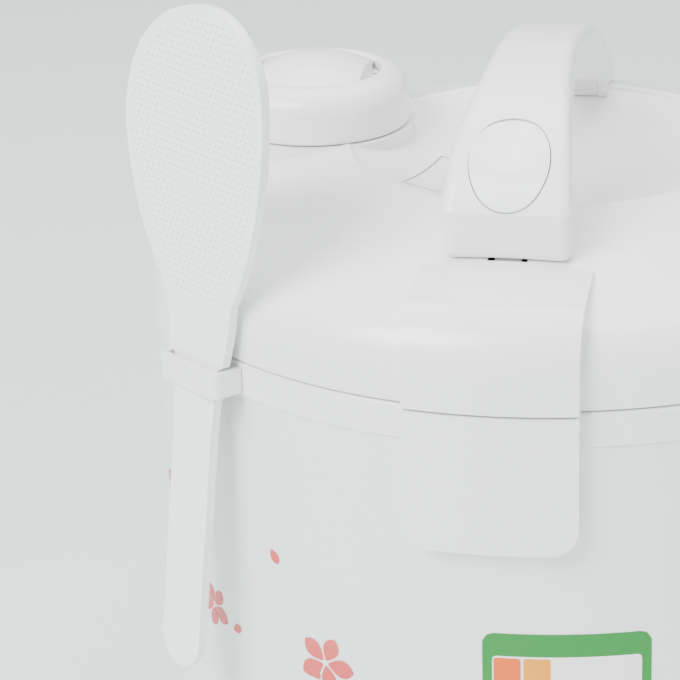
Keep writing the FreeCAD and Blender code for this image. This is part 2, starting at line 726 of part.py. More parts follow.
def plate_posts():
    """Places of the three posts that carry the heating plate."""
    return [(78 * math.cos(math.radians(a)), 78 * math.sin(math.radians(a))) for a in (30, 150, 270)]


def heating_plate():
    body = new_body("heating_plate")
    ring = S.element_circle
    tube = S.element_radius + 0.2
    revolve(body, [
        (S.plate_bore, S.plate_base), (ring - tube, S.plate_base), (ring - tube, S.plate_base + tube),
        (ring + tube, S.plate_base + tube), (ring + tube, S.plate_base), (S.plate_radius, S.plate_base),
        (S.plate_radius, PLATE_TOP - 2), (S.plate_radius - 2, PLATE_TOP, 2.0), (S.plate_bore, PLATE_TOP)])
    gap = S.plate_base - S.well_floor - S.sheet_wall
    pad(body, "XY_Plane", None, gap + 1, lift=S.well_floor + S.sheet_wall,
        holes=[(x, y, 5.0) for x, y in plate_posts()])
    pocket(body, "XY_Plane", None, 9, lift=S.well_floor + S.sheet_wall, up=True,
           holes=[(x, y, 2.05) for x, y in plate_posts()])


def plate_screws():
    parts = [screw("plate_screw", 2.0, 3.8, 1.7, 8, x, y, S.well_floor) for x, y in plate_posts()]
    piece(group("plate_screws", parts), "plate_screws")


def heating_element():
    """Tubular element: an open ring in the plate's groove with two tails that point down."""
    ring = doc.addObject("Part::Torus", "element_ring")
    set_size(ring, "Radius1", S.element_circle)
    set_size(ring, "Radius2", S.element_radius)
    ring.Angle3 = 330
    height = S.plate_base
    put(ring, 0, 0, height, FreeCAD.Rotation(V(0, 0, 1), 15))
    tails = []
    for side in (1, -1):
        x = S.element_circle * cosine(15)
        y = S.element_circle * sine(15) * side
        tails.append(cylinder("element_tail", S.element_radius, 12, x, y, height - 12))
        ball = doc.addObject("Part::Sphere", "element_bend")
        set_size(ball, "Radius", S.element_radius)
        tails.append(put(ball, x, y, height))
        tails.append(cylinder("element_pin", 1.2, 8, x, y, height - 20))
    piece(fuse("heating_element", [ring] + tails), "heating_element")


SLEEVE_FOOT = S.plate_base - 13.7
SLEEVE_FLOOR = SLEEVE_FOOT + 1.2
CAP_TOP = PLATE_TOP
FERRITE_FOOT = S.plate_base + 0.3
MAGNET_TOP = FERRITE_FOOT - S.sensor_travel - S.magnet_lift - 0.3


def thermostat_sleeve():
    body = new_body("thermostat_sleeve")
    inner = S.sensor_radius + S.seat_gap
    revolve(body, [
        (3.0, SLEEVE_FOOT), (inner + 1.2, SLEEVE_FOOT), (inner + 1.2, S.plate_base - 0.9),
        (26, S.plate_base - 0.9), (26, S.plate_base), (inner, S.plate_base), (inner, SLEEVE_FLOOR),
        (3.0, SLEEVE_FLOOR)])


def thermostat_cap():
    body = new_body("thermostat_cap")
    foot = SLEEVE_FLOOR + S.sensor_travel + 1
    revolve(body, [
        (0, CAP_TOP - 1.5), (S.sensor_radius - 1, CAP_TOP - 1.5), (S.sensor_radius - 1, foot),
        (S.sensor_radius, foot), (S.sensor_radius, CAP_TOP - 1.5), (S.sensor_radius - 1.5, CAP_TOP, 1.5),
        (0, CAP_TOP)])


def thermostat_ferrite():
    piece(cylinder("thermostat_ferrite", 9, CAP_TOP - 1.5 - FERRITE_FOOT, z=FERRITE_FOOT), "thermostat_ferrite")


def thermostat_magnet():
    disc = cylinder("magnet_disc", 8, 4, z=MAGNET_TOP - 4)
    foot = S.pivot_height + 1.9
    rod = cylinder("magnet_rod", 2.5, MAGNET_TOP - 3 - foot, z=foot)
    piece(fuse("thermostat_magnet", [disc, rod]), "thermostat_magnet")


def thermostat_spring():
    base = SLEEVE_FLOOR + 0.2
    spring = coil("thermostat_spring", 12.5, 1.2, CAP_TOP - 1.5 - 0.2 - base, 5)
    piece(spring, "thermostat_spring")
    spring.setExpression("Placement.Base.z", base.text)


def switch_bracket():
    body = new_body("switch_bracket")
    inner = 8.0
    y0, y1 = PIVOT_Y - 12, PIVOT_Y + 12
    pad(body, "XY_Plane", rectangle(-inner - 1.5, inner + 1.5, y0, y1), 1.5, lift=BASE_FLOOR)
    ear = [(PIVOT_Y - 8, BASE_FLOOR), (PIVOT_Y + 8, BASE_FLOOR), (PIVOT_Y + 5, S.pivot_height),
           (PIVOT_Y - 5, S.pivot_height, 5.0)]
    pad(body, "YZ_Plane", ear, 1.5, lift=inner)
    pad(body, "YZ_Plane", ear, 1.5, lift=-inner - 1.5)
    pocket(body, "YZ_Plane", None, 40, symmetric=True, holes=[(PIVOT_Y, S.pivot_height, S.pivot_radius + 0.02)])


def switch_pin():
    piece(cylinder("switch_pin", S.pivot_radius, 21, -10.5, PIVOT_Y, S.pivot_height, along="X"), "switch_pin")


def switch_lever():
    """Steel strip on edge: magnet end at the axis, key end at the front."""
    body = new_body("switch_lever")
    z = S.pivot_height
    shape = [
        (5.5, z - 1.5), (5.5, z + 1.2), (PIVOT_Y + 6, z + 3), (PIVOT_Y - 6, z + 4), (-111, z + 13),
        (-120.5, z + 20.5), (-136, z + 20.5), (-136, z + 17.5), (-121.5, z + 17.5), (-112, z + 10),
        (PIVOT_Y - 6, z - 3), (PIVOT_Y + 6, z - 3.5)]
    pad(body, "YZ_Plane", shape, 10, symmetric=True)
    pocket(body, "YZ_Plane", None, 12, symmetric=True,
           holes=[(PIVOT_Y, z, S.pivot_radius + S.pin_clearance)])


def cook_key():
    body = new_body("cook_key")
    z = S.pivot_height
    front = S.console_radius + 14.0
    rear = S.console_radius + 1.2
    profile = [
        (-rear, z + 14), (-rear, z + 24), (-(front - 3), z + 24), (-front, z + 21, 3.0),
        (-front, z + 17), (-(front - 3), z + 14, 3.0)]
    pad(body, "YZ_Plane", profile, 22, symmetric=True)
    neck = rectangle(-rear - 1, -126, z + 15.5, z + 22.5)
    pad(body, "YZ_Plane", neck, 13, symmetric=True)
    pocket(body, "YZ_Plane", rectangle(-136.1, -120, z + 17.4, z + 20.6), 10.2, symmetric=True)
    round_edges(body, 3.0, lambda edge: edge.BoundBox.YMax < -140 and edge.BoundBox.XLength < 0.1
                and edge.BoundBox.ZLength > 3)


def microswitch():
    """Switch under the lever, with its plunger just below it when the key is down."""
    z = BASE_FLOOR
    case = block("microswitch_case", -3.2, 3.2, PIVOT_Y - 35, PIVOT_Y - 16, z, z + 14)
    plunger = cylinder("microswitch_plunger", 1.2, 5.2, 0, PIVOT_Y - 25, z + 13)
    tabs = [block("microswitch_tab", x - 0.4, x + 0.4, PIVOT_Y - 40, PIVOT_Y - 34, z + 3, z + 6)
            for x in (-2.0, 2.0)]
    piece(fuse("microswitch", [case, plunger] + tabs), "microswitch")


def thermal_fuse():
    body_part = cylinder("fuse_body", 3.0, 22, -11, 42, S.plate_base - 3.3, along="X")
    leads = [cylinder("fuse_lead", 0.6, 10, x, 42, S.plate_base - 3.3, along="X") for x in (-20, 10)]
    piece(fuse("thermal_fuse", [body_part] + leads), "thermal_fuse")


# ---------------------------------------------------------------- front console and rear inlet

def control_panel():
    body = new_body("control_panel")
    back = S.console_radius - S.plastic_wall
    revolve(body, [(-S.console_radius, S.console_bottom), (-S.console_radius, S.console_top),
                   (-back, S.console_top), (-back, S.console_bottom)], angle=S.console_angle)
    pad(body, "XZ_Plane", rectangle(-25.6, 25.6, S.console_bottom + 13.4, S.console_top - 3.4), 5,
        lift=back - 4.0)
    for x in (-13.5, 10.5):
        pad(body, "XZ_Plane", rectangle(x, x + 3, S.lamp_height - 4, S.lamp_height + 4), 7, lift=LAMP_BOARD + 1.6)
    pocket(body, "XZ_Plane", rectangle(-7.5, 7.5, 30, 51), 30, lift=back - 20, up=True)
    pocket(body, "XZ_Plane", None, 30, lift=back - 20, up=True,
           holes=[(S.lamp_offset * side, S.lamp_height, S.lens_radius + 0.05) for side in (-1, 1)])


def lamp_lenses():
    front = S.console_radius - 0.8
    back = S.console_radius - S.plastic_wall - 4.7
    parts = [cylinder("lamp_lens", S.lens_radius, front - back, S.lamp_offset * side, -front, S.lamp_height,
                      along="Y") for side in (-1, 1)]
    piece(group("lamp_lenses", parts), "lamp_lenses")


def lamp_board():
    body = new_body("lamp_board")
    pad(body, "XZ_Plane", rectangle(-24.5, 24.5, S.lamp_height - 5.5, S.lamp_height + 5.5), 1.6, lift=LAMP_BOARD)


def indicator_lamps():
    foot = LAMP_BOARD + 1.6
    parts = [cylinder("indicator_lamp", 2.4, 4.0, S.lamp_offset * side, -foot - 4.0, S.lamp_height, along="Y")
             for side in (-1, 1)]
    piece(group("indicator_lamps", parts), "indicator_lamps")


def power_inlet():
    body = new_body("power_inlet")
    half = S.inlet_half_width
    low, high = S.inlet_bottom, S.inlet_bottom + S.inlet_height
    face = S.casing_foot_radius + 0.7
    pad(body, "XZ_Plane", rectangle(-half, half, low, high), 22, lift=-face)
    pad(body, "XZ_Plane", rectangle(-half - 4, half + 4, low - 0.5, high + 3), 2.2, lift=-face - 2.2)
    pocket(body, "XZ_Plane", rectangle(-half + 2.5, half - 2.5, low + 2.5, high - 2.5), 18.2,
           lift=-face - 2.2, up=True)


def inlet_pins():
    middle = S.inlet_bottom + S.inlet_height / 2
    start = S.casing_foot_radius + 0.7 - 19.3
    parts = [cylinder("inlet_pin", 1.6, 16, x, start + 3.3, middle, along="Y") for x in (-6.5, 0, 6.5)]
    piece(group("inlet_pins", parts), "inlet_pins")


# ---------------------------------------------------------------- pot

def inner_pot():
    body = new_body("inner_pot")
    outer, wall, corner = S.pot_radius, S.pot_wall, S.pot_corner
    revolve(body, [
        (0, POT_FLOOR), (outer - corner, POT_FLOOR), (outer, POT_FLOOR + corner, corner),
        (outer, STEP_TOP + S.seat_gap), (S.pot_rim_radius, STEP_TOP + S.seat_gap),
        (S.pot_rim_radius, POT_TOP), (outer - wall, POT_TOP), (outer - wall, POT_FLOOR + corner),
        (outer - corner, POT_FLOOR + wall, -(corner - wall)), (0, POT_FLOOR + wall)])


# ---------------------------------------------------------------- lid

def lid_cover():
    body = new_body("lid_cover")
    revolve(body, lid_inner_points() + lid_outer_points(0))
    lid_panel(body)
    lid_vent_socket(body)
    lid_hinge_arms(body)
    pocket(body, "XY_Plane", rectangle(-6, 6, LATCH_Y + 22.9, LATCH_Y + 32.9), 30, lift=DOME_TOP)
    pocket(body, "XY_Plane", None, 30, lift=DOME_TOP, holes=[(x, y, 1.7) for x, y, _ in handle_screw_places()])


def lid_panel(body):
    """The latch panel's upper half, which fades into the lid's shoulder."""
    half = S.panel_width / 2
    bend = S.shoulder_radius + 2.3
    centre = S.panel_radius - bend
    pad(body, "XY_Plane", rectangle(-half, half, -S.panel_radius - 2, -97), 36, lift=LID_FOOT)
    outside = [
        (S.panel_radius, LID_FOOT), (S.panel_radius + 9, LID_FOOT), (S.panel_radius + 9, LID_FOOT + 44),
        (96, LID_FOOT + 44), (96, DOME_TOP - 7.7),
        (centre + bend * cosine(S.shoulder_angle), WALL_TOP + 2 + bend * sine(S.shoulder_angle)),
        (S.panel_radius, WALL_TOP + 2, -bend)]
    revolve(body, outside, cut=True)


def lid_vent_socket(body):
    """Boss that the steam cap sits on, with the duct that brings the steam up from the frame."""
    pad(body, "XY_Plane", None, 17, lift=VENT_SEAT - 17, holes=[(S.vent_x, S.vent_y, S.vent_radius + 1.6)])
    revolve(body, lid_inner_points() + [(0, LID_FOOT)], cut=True)
    duct = FRAME_TOP + S.seat_gap
    pad(body, "XY_Plane", None, VENT_SEAT - duct, lift=duct, holes=[(S.vent_x, S.vent_y, S.vent_bore + 2.2)])
    pocket(body, "XY_Plane", None, 4, lift=VENT_SEAT + 4, holes=[(S.vent_x, S.vent_y, S.vent_radius + 1.6)])
    pocket(body, "XY_Plane", None, 60, lift=VENT_SEAT + 1, holes=[(S.vent_x, S.vent_y, S.vent_bore)])


def lid_hinge_arms(body):
    arm = S.ear_inner - S.seat_gap
    reach = S.knuckle_radius
    profile = [
        (S.ring_radius - 2.2, LID_FOOT), (S.hinge_back, HINGE_Z - reach), (S.hinge_back, HINGE_Z + reach, reach),
        (S.ring_radius - 2.2, HINGE_Z + reach)]
    pad(body, "YZ_Plane", profile, arm - S.spring_bay, lift=S.spring_bay)
    pad(body, "YZ_Plane", profile, arm - S.spring_bay, lift=-arm)
    pocket(body, "YZ_Plane", None, 2 * arm + 2, symmetric=True,
           holes=[(S.hinge_back, HINGE_Z, S.hinge_pin_radius + S.pin_clearance)])


def lid_frame():
    body = new_body("lid_frame")
    outer = S.ring_radius - S.plastic_wall - 0.2
    revolve(body, [
        (0, SEAM - 4.0), (4, SEAM - 4.0), (4, FRAME_FOOT), (outer, FRAME_FOOT), (outer, FRAME_TOP),
        (0, FRAME_TOP)])
    pocket(body, "XY_Plane", None, 10, lift=FRAME_TOP + 1, holes=[(S.vent_x, S.vent_y, 9)])
    slot = rectangle(-S.slot_half_width, S.slot_half_width, -outer - 1, -S.rim_opening - 1)
    pocket(body, "XY_Plane", slot, 10, lift=FRAME_TOP + 1)


def inner_lid_plate():
    body = new_body("inner_lid_plate")
    low = SEAM - 1.8
    revolve(body, [(8.2, low), (105, low), (105, low + 1), (8.2, low + 1)])
    pocket(body, "XY_Plane", None, 4, lift=low + 2,
           holes=[(S.vent_x * 0.6 + dx, S.vent_y * 0.6, 2.5) for dx in (-12, -4, 4, 12)])


def inner_lid_knob():
    body = new_body("inner_lid_knob")
    low = SEAM - 1.8
    revolve(body, [
        (4.1, SEAM - 5), (10, SEAM - 5), (10, low - 0.1), (8, low - 0.1), (8, low + 1.1), (10, low + 1.1),
        (10, FRAME_FOOT), (4.1, FRAME_FOOT)])


def lid_gasket():
    body = new_body("lid_gasket")
    top = FRAME_FOOT
    low = POT_TOP + S.seat_gap
    revolve(body, [
        (106, low + 0.6), (112.5, low), (115.5, low), (116.2, low + 0.8), (116.2, top), (104.5, top),
        (104.5, SEAM - 0.6), (106, SEAM - 0.6)])


def vent_gasket():
    body = new_body("vent_gasket")
    sk = new_sketch(body, "XY_Plane", VENT_SEAT)
    circle(sk, S.vent_x, S.vent_y, S.vent_bore + 6)
    circle(sk, S.vent_x, S.vent_y, S.vent_bore + 3)
    feature(body, "PartDesign::Pad", sk, Length=1.4)


# ---------------------------------------------------------------- handle

def handle_outer_path():
    """Nose, crown and back of the handle from its front foot to its rear foot, as (y, z)."""
    nose = -S.handle_front
    top = SEAM + S.handle_top
    return [
        (nose + 3.5, SEAM + 30.0), (nose, SEAM + 49.0), (nose + 28.3, top - 8.3, -S.nose_radius),
        (nose + 71.3, top, -133.0), (S.handle_back - 3, SEAM + 42.5, -200.0), (S.handle_back + 1, SEAM + 30.0)]


def handle_under_path():
    """Underside of the arch from its rear foot to its front foot, as (y, z)."""
    return [(58.0, SEAM + 38.2), (56.5, SEAM + 42.0), (50.0, SEAM + 46.0), (24.0, SEAM + 55.5),
            (-30.0, SEAM + 71.0), (-48.0, SEAM + 71.0, 60.0), (-59.0, SEAM + 66.0, 20.0), (-68.0, SEAM + 38.2)]


def handle_shell():
    """Arch over the dish: a channel that is open below, with the hole for the button."""
    body = new_body("handle_shell")
    under = [(58.0, SEAM + 30.0)] + handle_under_path() + [(-70.0, SEAM + 30.0)]
    pad(body, "YZ_Plane", handle_outer_path() + under, 2 * S.handle_half_front + 6, symmetric=True)
    front, back = S.handle_half_front, S.handle_half_back
    nose, waist, tail = -S.handle_front - 6, -30.0, S.handle_back + 6
    plan = [(front + 1.0, nose), (back + 0.4, waist, -600.0), (back, tail),
            (-back, tail), (-back - 0.4, waist), (-front - 1.0, nose, -600.0)]
    edge = rectangle(-60, 60, nose - 20, tail + 20)
    pocket(body, "XY_Plane", plan, 120, lift=SEAM + 100, frame=edge)
    round_edges(body, 3.6, handle_rim)
    wall = S.handle_wall
    y0, top = -S.handle_front + wall, SEAM + S.handle_top - wall
    cavity = [(y0 + 3.5, SEAM + 29), (y0, SEAM + 49), (y0 + 23.8, top - 8.0, wall - S.nose_radius),
              (y0 + 67.8, top, -130.0), (60, SEAM + 53.5, -197.0), (66, SEAM + 47), (66, SEAM + 29)]
    pocket(body, "YZ_Plane", cavity, 2 * S.handle_slot, symmetric=True)
    button_pocket(body, S.seat_gap, 10, S.button_shoulder)
    button_pocket(body, S.button_skirt + S.seat_gap, -S.button_shoulder,
                  S.button_depth + S.button_stroke + 0.5)
    for x, y, z in handle_screw_places():
        pocket(body, "XY_Plane", None, 16, lift=SEAM + 29, up=True, holes=[(x, y, 1.55)])
    revolve(body, lid_outer_points(S.seat_gap) + [(0, LID_FOOT)], cut=True)
    round_edges(body, 2.4, handle_toe)


def button_pocket(body, gap, start, depth):
    """Cut the button's oval, wider by a gap, from one level of its slope down to a depth."""
    sk = new_sketch(body, "XY_Plane", tilt=S.button_tilt, at=button_point(0, start))
    draw_oval(sk, S.button_half_width + gap, S.button_half_length + gap, S.button_end_radius + gap)
    feature(body, "PartDesign::Pocket", sk, Length=start + depth)


def handle_rim(edge):
    """The edges between the handle's sides and its nose, crown and back."""
    box = edge.BoundBox
    low = SIZES["seam_height"][0] + 31
    middle = edge.valueAt((edge.FirstParameter + edge.LastParameter) / 2)
    side = abs(middle.x) > 5 and box.XLength < 12 and box.YLength > 2
    under = underside_height(middle.y)
    return side and box.ZMax > low and middle.z > under + 4


def handle_toe(edge):
    """The outer lower edge of the nose, above the lid."""
    box = edge.BoundBox
    low = box.ZMax < SIZES["seam_height"][0] + 34.6 and box.YMin < -90.8
    middle = edge.valueAt((edge.FirstParameter + edge.LastParameter) / 2)
    return low and (abs(middle.x) > 12 or box.XLength > 20)


def underside_height(y):
    """Rough height of the arch's underside at a distance along it."""
    seam = SIZES["seam_height"][0]
    points = [(-71, 38), (-68, 38), (-59, 66), (-48, 71), (-30, 71), (24, 55.5), (50, 46), (58, 38), (59, 20)]
    for (y0, z0), (y1, z1) in zip(points, points[1:]):
        if y0 <= y <= y1:
            return seam + z0 + (z1 - z0) * (y - y0) / (y1 - y0)
    return seam + 20


def handle_under_cover():
    """Strip that closes the channel along the arch's underside."""
    body = new_body("handle_under_cover")
    inside = [(-70.6, SEAM + 38.2), (-61.4, SEAM + 67.6), (-48.4, SEAM + 73.6, -22.5),
              (-29.6, SEAM + 73.6, -60.0), (24.8, SEAM + 58.0), (51.3, SEAM + 48.3), (58.8, SEAM + 43.6),
              (60.6, SEAM + 38.8)]
    pad(body, "YZ_Plane", handle_under_path() + inside, 2 * S.handle_slot - 0.2, symmetric=True)
    revolve(body, lid_outer_points(S.seat_gap) + [(0, LID_FOOT)], cut=True)


def handle_screw_places():
    """x, y and head seat of the screws that hold the handle from inside the lid."""
    seat_front = SEAM + 31.0
    seat_back = SEAM + 35.2
    return [(Size.of(13.0), Size.of(-89.0), seat_front), (Size.of(-13.0), Size.of(-89.0), seat_front),
            (Size.of(0.0), Size.of(75.0), seat_back)]


def handle_screws():
    parts = [screw("handle_screw", 1.5, 3.0, 1.8, 9, x, y, z) for x, y, z in handle_screw_places()]
    piece(group("handle_screws", parts), "handle_screws")


# ---------------------------------------------------------------- latch

def release_button():
    """Oval button that follows the nose's curve, with a thumb hollow in its upper half."""
    body = new_body("release_button")
    half, proud = S.button_half_length + 2, S.button_proud
    foot = -S.button_depth
    end = root((S.nose_radius + proud) * (S.nose_radius + proud) - half * half) - S.nose_radius
    side = [(-half, foot), (half, foot), (half, end), (-half, end, S.nose_radius + proud)]
    pad(body, "YZ_Plane", side, 2 * S.button_half_width + 6, symmetric=True)
    trim_button(body, S.button_skirt, 20)
    trim_button(body, 0, S.button_shoulder + S.seat_gap)
    thumb_hollow(body)
    body.Placement = FreeCAD.Placement(V(0, 0, 0), FreeCAD.Rotation(V(1, 0, 0), S.button_tilt.value))
    body.setExpression("Placement.Rotation.Angle", S.button_tilt.text)
    body.setExpression("Placement.Base.y", BUTTON_Y.text)
    body.setExpression("Placement.Base.z", BUTTON_Z.text)


def trim_button(body, gap, depth):
    """Cut away what lies outside the oval, down to a depth below the nose's face."""
    sk = new_sketch(body, "XY_Plane", lift=10)
    outline(sk, rectangle(-40, 40, -40, 40))
    draw_oval(sk, S.button_half_width + gap, S.button_half_length + gap, S.button_end_radius + gap)
    feature(body, "PartDesign::Pocket", sk, Length=10 + depth)


def thumb_hollow(body):
    """Scoop by a cylinder that sinks up the slope and leaves the face near the button's middle."""
    sk = new_sketch(body, "XZ_Plane")
    sk.AttachmentOffset = FreeCAD.Placement(V(0, 0, 10), FreeCAD.Rotation(V(1, 0, 0), -12))
    circle(sk, 0, 31.8, 30.0)
    feature(body, "PartDesign::Pocket", sk, Length=50)


def latch_lever():
    """Bent lever: the button presses its upper end and its hook swings clear of the strike."""
    body = new_body("latch_lever")
    y, z = LATCH_Y, LATCH_Z
    rest = -S.button_depth - S.seat_gap
    shape = [
        (y - 6, z - 25.9), (y - 2.3, z - 25.9), (y - 2.3, z - 23.8), (y - 4, z - 23.8), (y - 4, z - 4.5),
        (y + 5.5, z - 0.5), (y + 21.5, z + 5.5), (y + 26.5, z + 11.5), button_point(1.5, rest - 3),
        button_point(1.5, rest), button_point(-1.5, rest), button_point(-2.2, rest - 2), (y + 24, z + 13.5),
        (y + 19.5, z + 8.5), (y + 4.5, z + 3.5), (y - 1, z + 3.5), (y - 6, z - 1.5)]
    pad(body, "YZ_Plane", shape, S.latch_width, symmetric=True)
    pocket(body, "YZ_Plane", None, 20, symmetric=True, holes=[(y, z, S.pivot_radius + S.pin_clearance)])


def latch_pin():
    half = LATCH_EARS + 3.5
    piece(cylinder("latch_pin", S.pivot_radius, 2 * half, -half, LATCH_Y, LATCH_Z, along="X"), "latch_pin")


def latch_springs():
    """Torsion coils on the latch pin, one on each side of the lever."""
    width = LATCH_EARS - S.latch_width / 2 - 0.8
    parts = []
    for start in (S.latch_width / 2 + 0.4, -S.latch_width / 2 - 0.4 - width):
        spring = coil("latch_spring", S.pivot_radius + 1.1, 0.8, width, 3)
        parts.append(put(spring, start, LATCH_Y, LATCH_Z, FreeCAD.Rotation(V(0, 1, 0), 90)))
    piece(group("latch_springs", parts), "latch_springs")


def latch_bracket():
    """Two ears on the lid's frame that hold the latch pin."""
    body = new_body("latch_bracket")
    y, z = LATCH_Y, LATCH_Z
    ear = [(y + 14, FRAME_TOP), (y + 14, FRAME_TOP + 2), (y + 3.2, z), (y - 3.2, z, 3.2),
           (y + 0.4, FRAME_TOP + 2), (y + 0.4, FRAME_TOP)]
    for side in (LATCH_EARS, -LATCH_EARS - 3):
        pad(body, "YZ_Plane", ear, 3.0, lift=side)
    pad(body, "XY_Plane", rectangle(-LATCH_EARS - 3, LATCH_EARS + 3, y + 5, y + 14), 1.6, lift=FRAME_TOP)
    pocket(body, "YZ_Plane", None, 40, symmetric=True, holes=[(y, z, S.pivot_radius + 0.02)])


def latch_strike():
    y, z = LATCH_Y, LATCH_Z
    piece(block("latch_strike", -S.slot_half_width, S.slot_half_width, y - 3.7, -S.rim_opening - 2.2,
                z - 23.5, z - 21.5), "latch_strike")


# ---------------------------------------------------------------- hinge

def hinge_pin():
    length = 2 * (S.ear_inner + S.ear_width)
    piece(cylinder("hinge_pin", S.hinge_pin_radius, length, -length / 2, S.hinge_back, HINGE_Z, along="X"),
          "hinge_pin")


def hinge_spring():
    """Torsion spring around the pin, with one leg on the collar and one on the lid."""
    width = 2 * S.spring_bay - 1.2
    radius = S.hinge_pin_radius + 1.4
    spring = coil("hinge_coil", radius, 1.3, width, 9)
    spring.Placement = FreeCAD.Placement(V(0, 0, 0), FreeCAD.Rotation(V(0, 1, 0), 90))
    for axis, size in zip("xyz", (-width / 2, S.hinge_back, HINGE_Z)):
        spring.setExpression(f"Placement.Base.{axis}", size.text)
    foot = cylinder("hinge_spring_foot", 0.6, HINGE_Z - radius - RING_TOP, -width / 2 + 0.65, S.hinge_back,
                    RING_TOP)
    piece(fuse("hinge_spring", [spring, foot]), "hinge_spring")


# ---------------------------------------------------------------- steam vent

def vent_cap():
    body = new_body("vent_cap")
    low = VENT_SEAT + 0.4
    top = low + S.vent_height
    shoulder = S.vent_radius - S.vent_mouth
    r, mouth, wall = S.vent_radius, S.vent_mouth, 2.2
    revolve(body, [
        (r - wall, low), (r - 0.8, low), (r, low + 0.8, 0.8), (r, top - shoulder),
        (mouth + 0.8, top, shoulder - 0.8), (mouth, top - 0.8, 0.8), (mouth, top - 5),
        (mouth - 1.5, top - 5), (mouth - 1.5, top - 5 - wall), (mouth + 1.0, top - 5 - wall),
        (r - wall, top - shoulder - 1, -6.5)])
    for axis, size in zip("xy", (S.vent_x, S.vent_y)):
        body.setExpression(f"Placement.Base.{axis}", size.text)


def vent_plug():
    """Low dome in the cap's mouth, cut back at its left and right so that the steam gets out."""
    body = new_body("vent_plug")
    top = VENT_SEAT + 0.4 + S.vent_height
    r = S.vent_mouth - S.seat_gap
    floor = top - 5
    revolve(body, [
        (0, floor), (r, floor), (r, top - 1.0), (0, top + 4.9, cap_radius(r, Size.of(5.9)))])
    for side in (1, -1):
        cut_back = [(side * 17.0, -20), (side * 30.0, -20), (side * 30.0, 20), (side * 17.0, 20)]
        pocket(body, "XY_Plane", cut_back, 12, lift=top + 8.6)
        holes = [(side * 18.8, y, 1.2) for y in (-6, -2, 2, 6)]
        pocket(body, "XY_Plane", None, 20, lift=top + 6, holes=holes)
    for axis, size in zip("xy", (S.vent_x, S.vent_y)):
        body.setExpression(f"Placement.Base.{axis}", size.text)


def vent_cup():
    """Lower cup of the steam cap: its stem goes into the socket's bore."""
    body = new_body("vent_cup")
    low = VENT_SEAT + 1.8
    outer = S.vent_radius - 2.2 - 0.3
    stem = S.vent_bore - 1.0
    revolve(body, [
        (stem - 1.6, VENT_SEAT - 8), (stem, VENT_SEAT - 8), (stem, low), (outer, low), (outer, low + 6),
        (outer - 1.6, low + 6), (outer - 1.6, low + 1.6), (stem - 1.6, low + 1.6)])
    for axis, size in zip("xy", (S.vent_x, S.vent_y)):
        body.setExpression(f"Placement.Base.{axis}", size.text)


# ---------------------------------------------------------------- dew collector, holder, paddle

def dew_collector():
    """Tub under the hinge block: its back rises behind the block and its tongue plugs into it."""
    body = new_body("dew_collector")
    front = S.casing_top_radius + 2.0
    plate = S.hinge_back + S.knuckle_radius + 0.5 + S.seat_gap
    back = plate + 2
    half, wall = S.collector_half_width, 2.0
    low = S.collector_bottom
    pad(body, "XY_Plane", rectangle(-half, half, front, back), COLLECTOR_TOP - low, lift=low)
    pad(body, "XY_Plane", rectangle(-half, half, plate, back), COLLECTOR_TOP + 12 - low, lift=low)
    round_edges(body, 1.5, lambda edge: edge.BoundBox.ZLength > 10 and edge.BoundBox.YMin > back.value - 0.1)
    pocket(body, "XY_Plane", rectangle(-half + wall, half - wall, front + wall, plate),
           COLLECTOR_TOP - low, lift=COLLECTOR_TOP + wall)
    pad(body, "XY_Plane", rectangle(-TONGUE_HALF, TONGUE_HALF, plate - 4.5, plate + 0.5), 2, lift=TONGUE_FOOT)


def spatula_frame(made):
    """Turn a piece from the holder's own frame, where the front is -Y, to its place."""
    made.Placement = FreeCAD.Placement(V(0, 0, 0), FreeCAD.Rotation(V(0, 0, 1), S.holder_angle.value + 90))
    made.setExpression("Placement.Rotation.Angle", (S.holder_angle + 90).text)


def spatula_holder():
    body = new_body("spatula_holder")
    half = S.neck_half_width + 1.3
    middle, band = S.paddle_offset, S.holder_band
    outer = S.paddle_out + 7.1
    left, right = middle - half, middle + half
    wall_right = -S.ring_radius - 0.2
    wall_left = -S.ring_radius + 2.1
    points = [
        (right, wall_right), (right, -outer + band), (left, -outer + band), (left, wall_left),
        (left - band, wall_left), (left - band, -outer + 3), (left - band + 3, -outer, 3.0),
        (right + band - 3, -outer), (right + band, -outer + 3, 3.0), (right + band, wall_right)]
    pad(body, "XY_Plane", points, S.holder_height, lift=SEAM - S.holder_drop - S.holder_height)
    for wall, x in zip((wall_left, wall_right), holder_walls()):
        pad(body, "XY_Plane", rectangle(x - 0.6, x + 0.6, wall - 1, -S.ring_radius + S.plastic_wall + 0.4), 6,
            lift=SEAM - S.holder_drop - 6.9)
    spatula_frame(body)


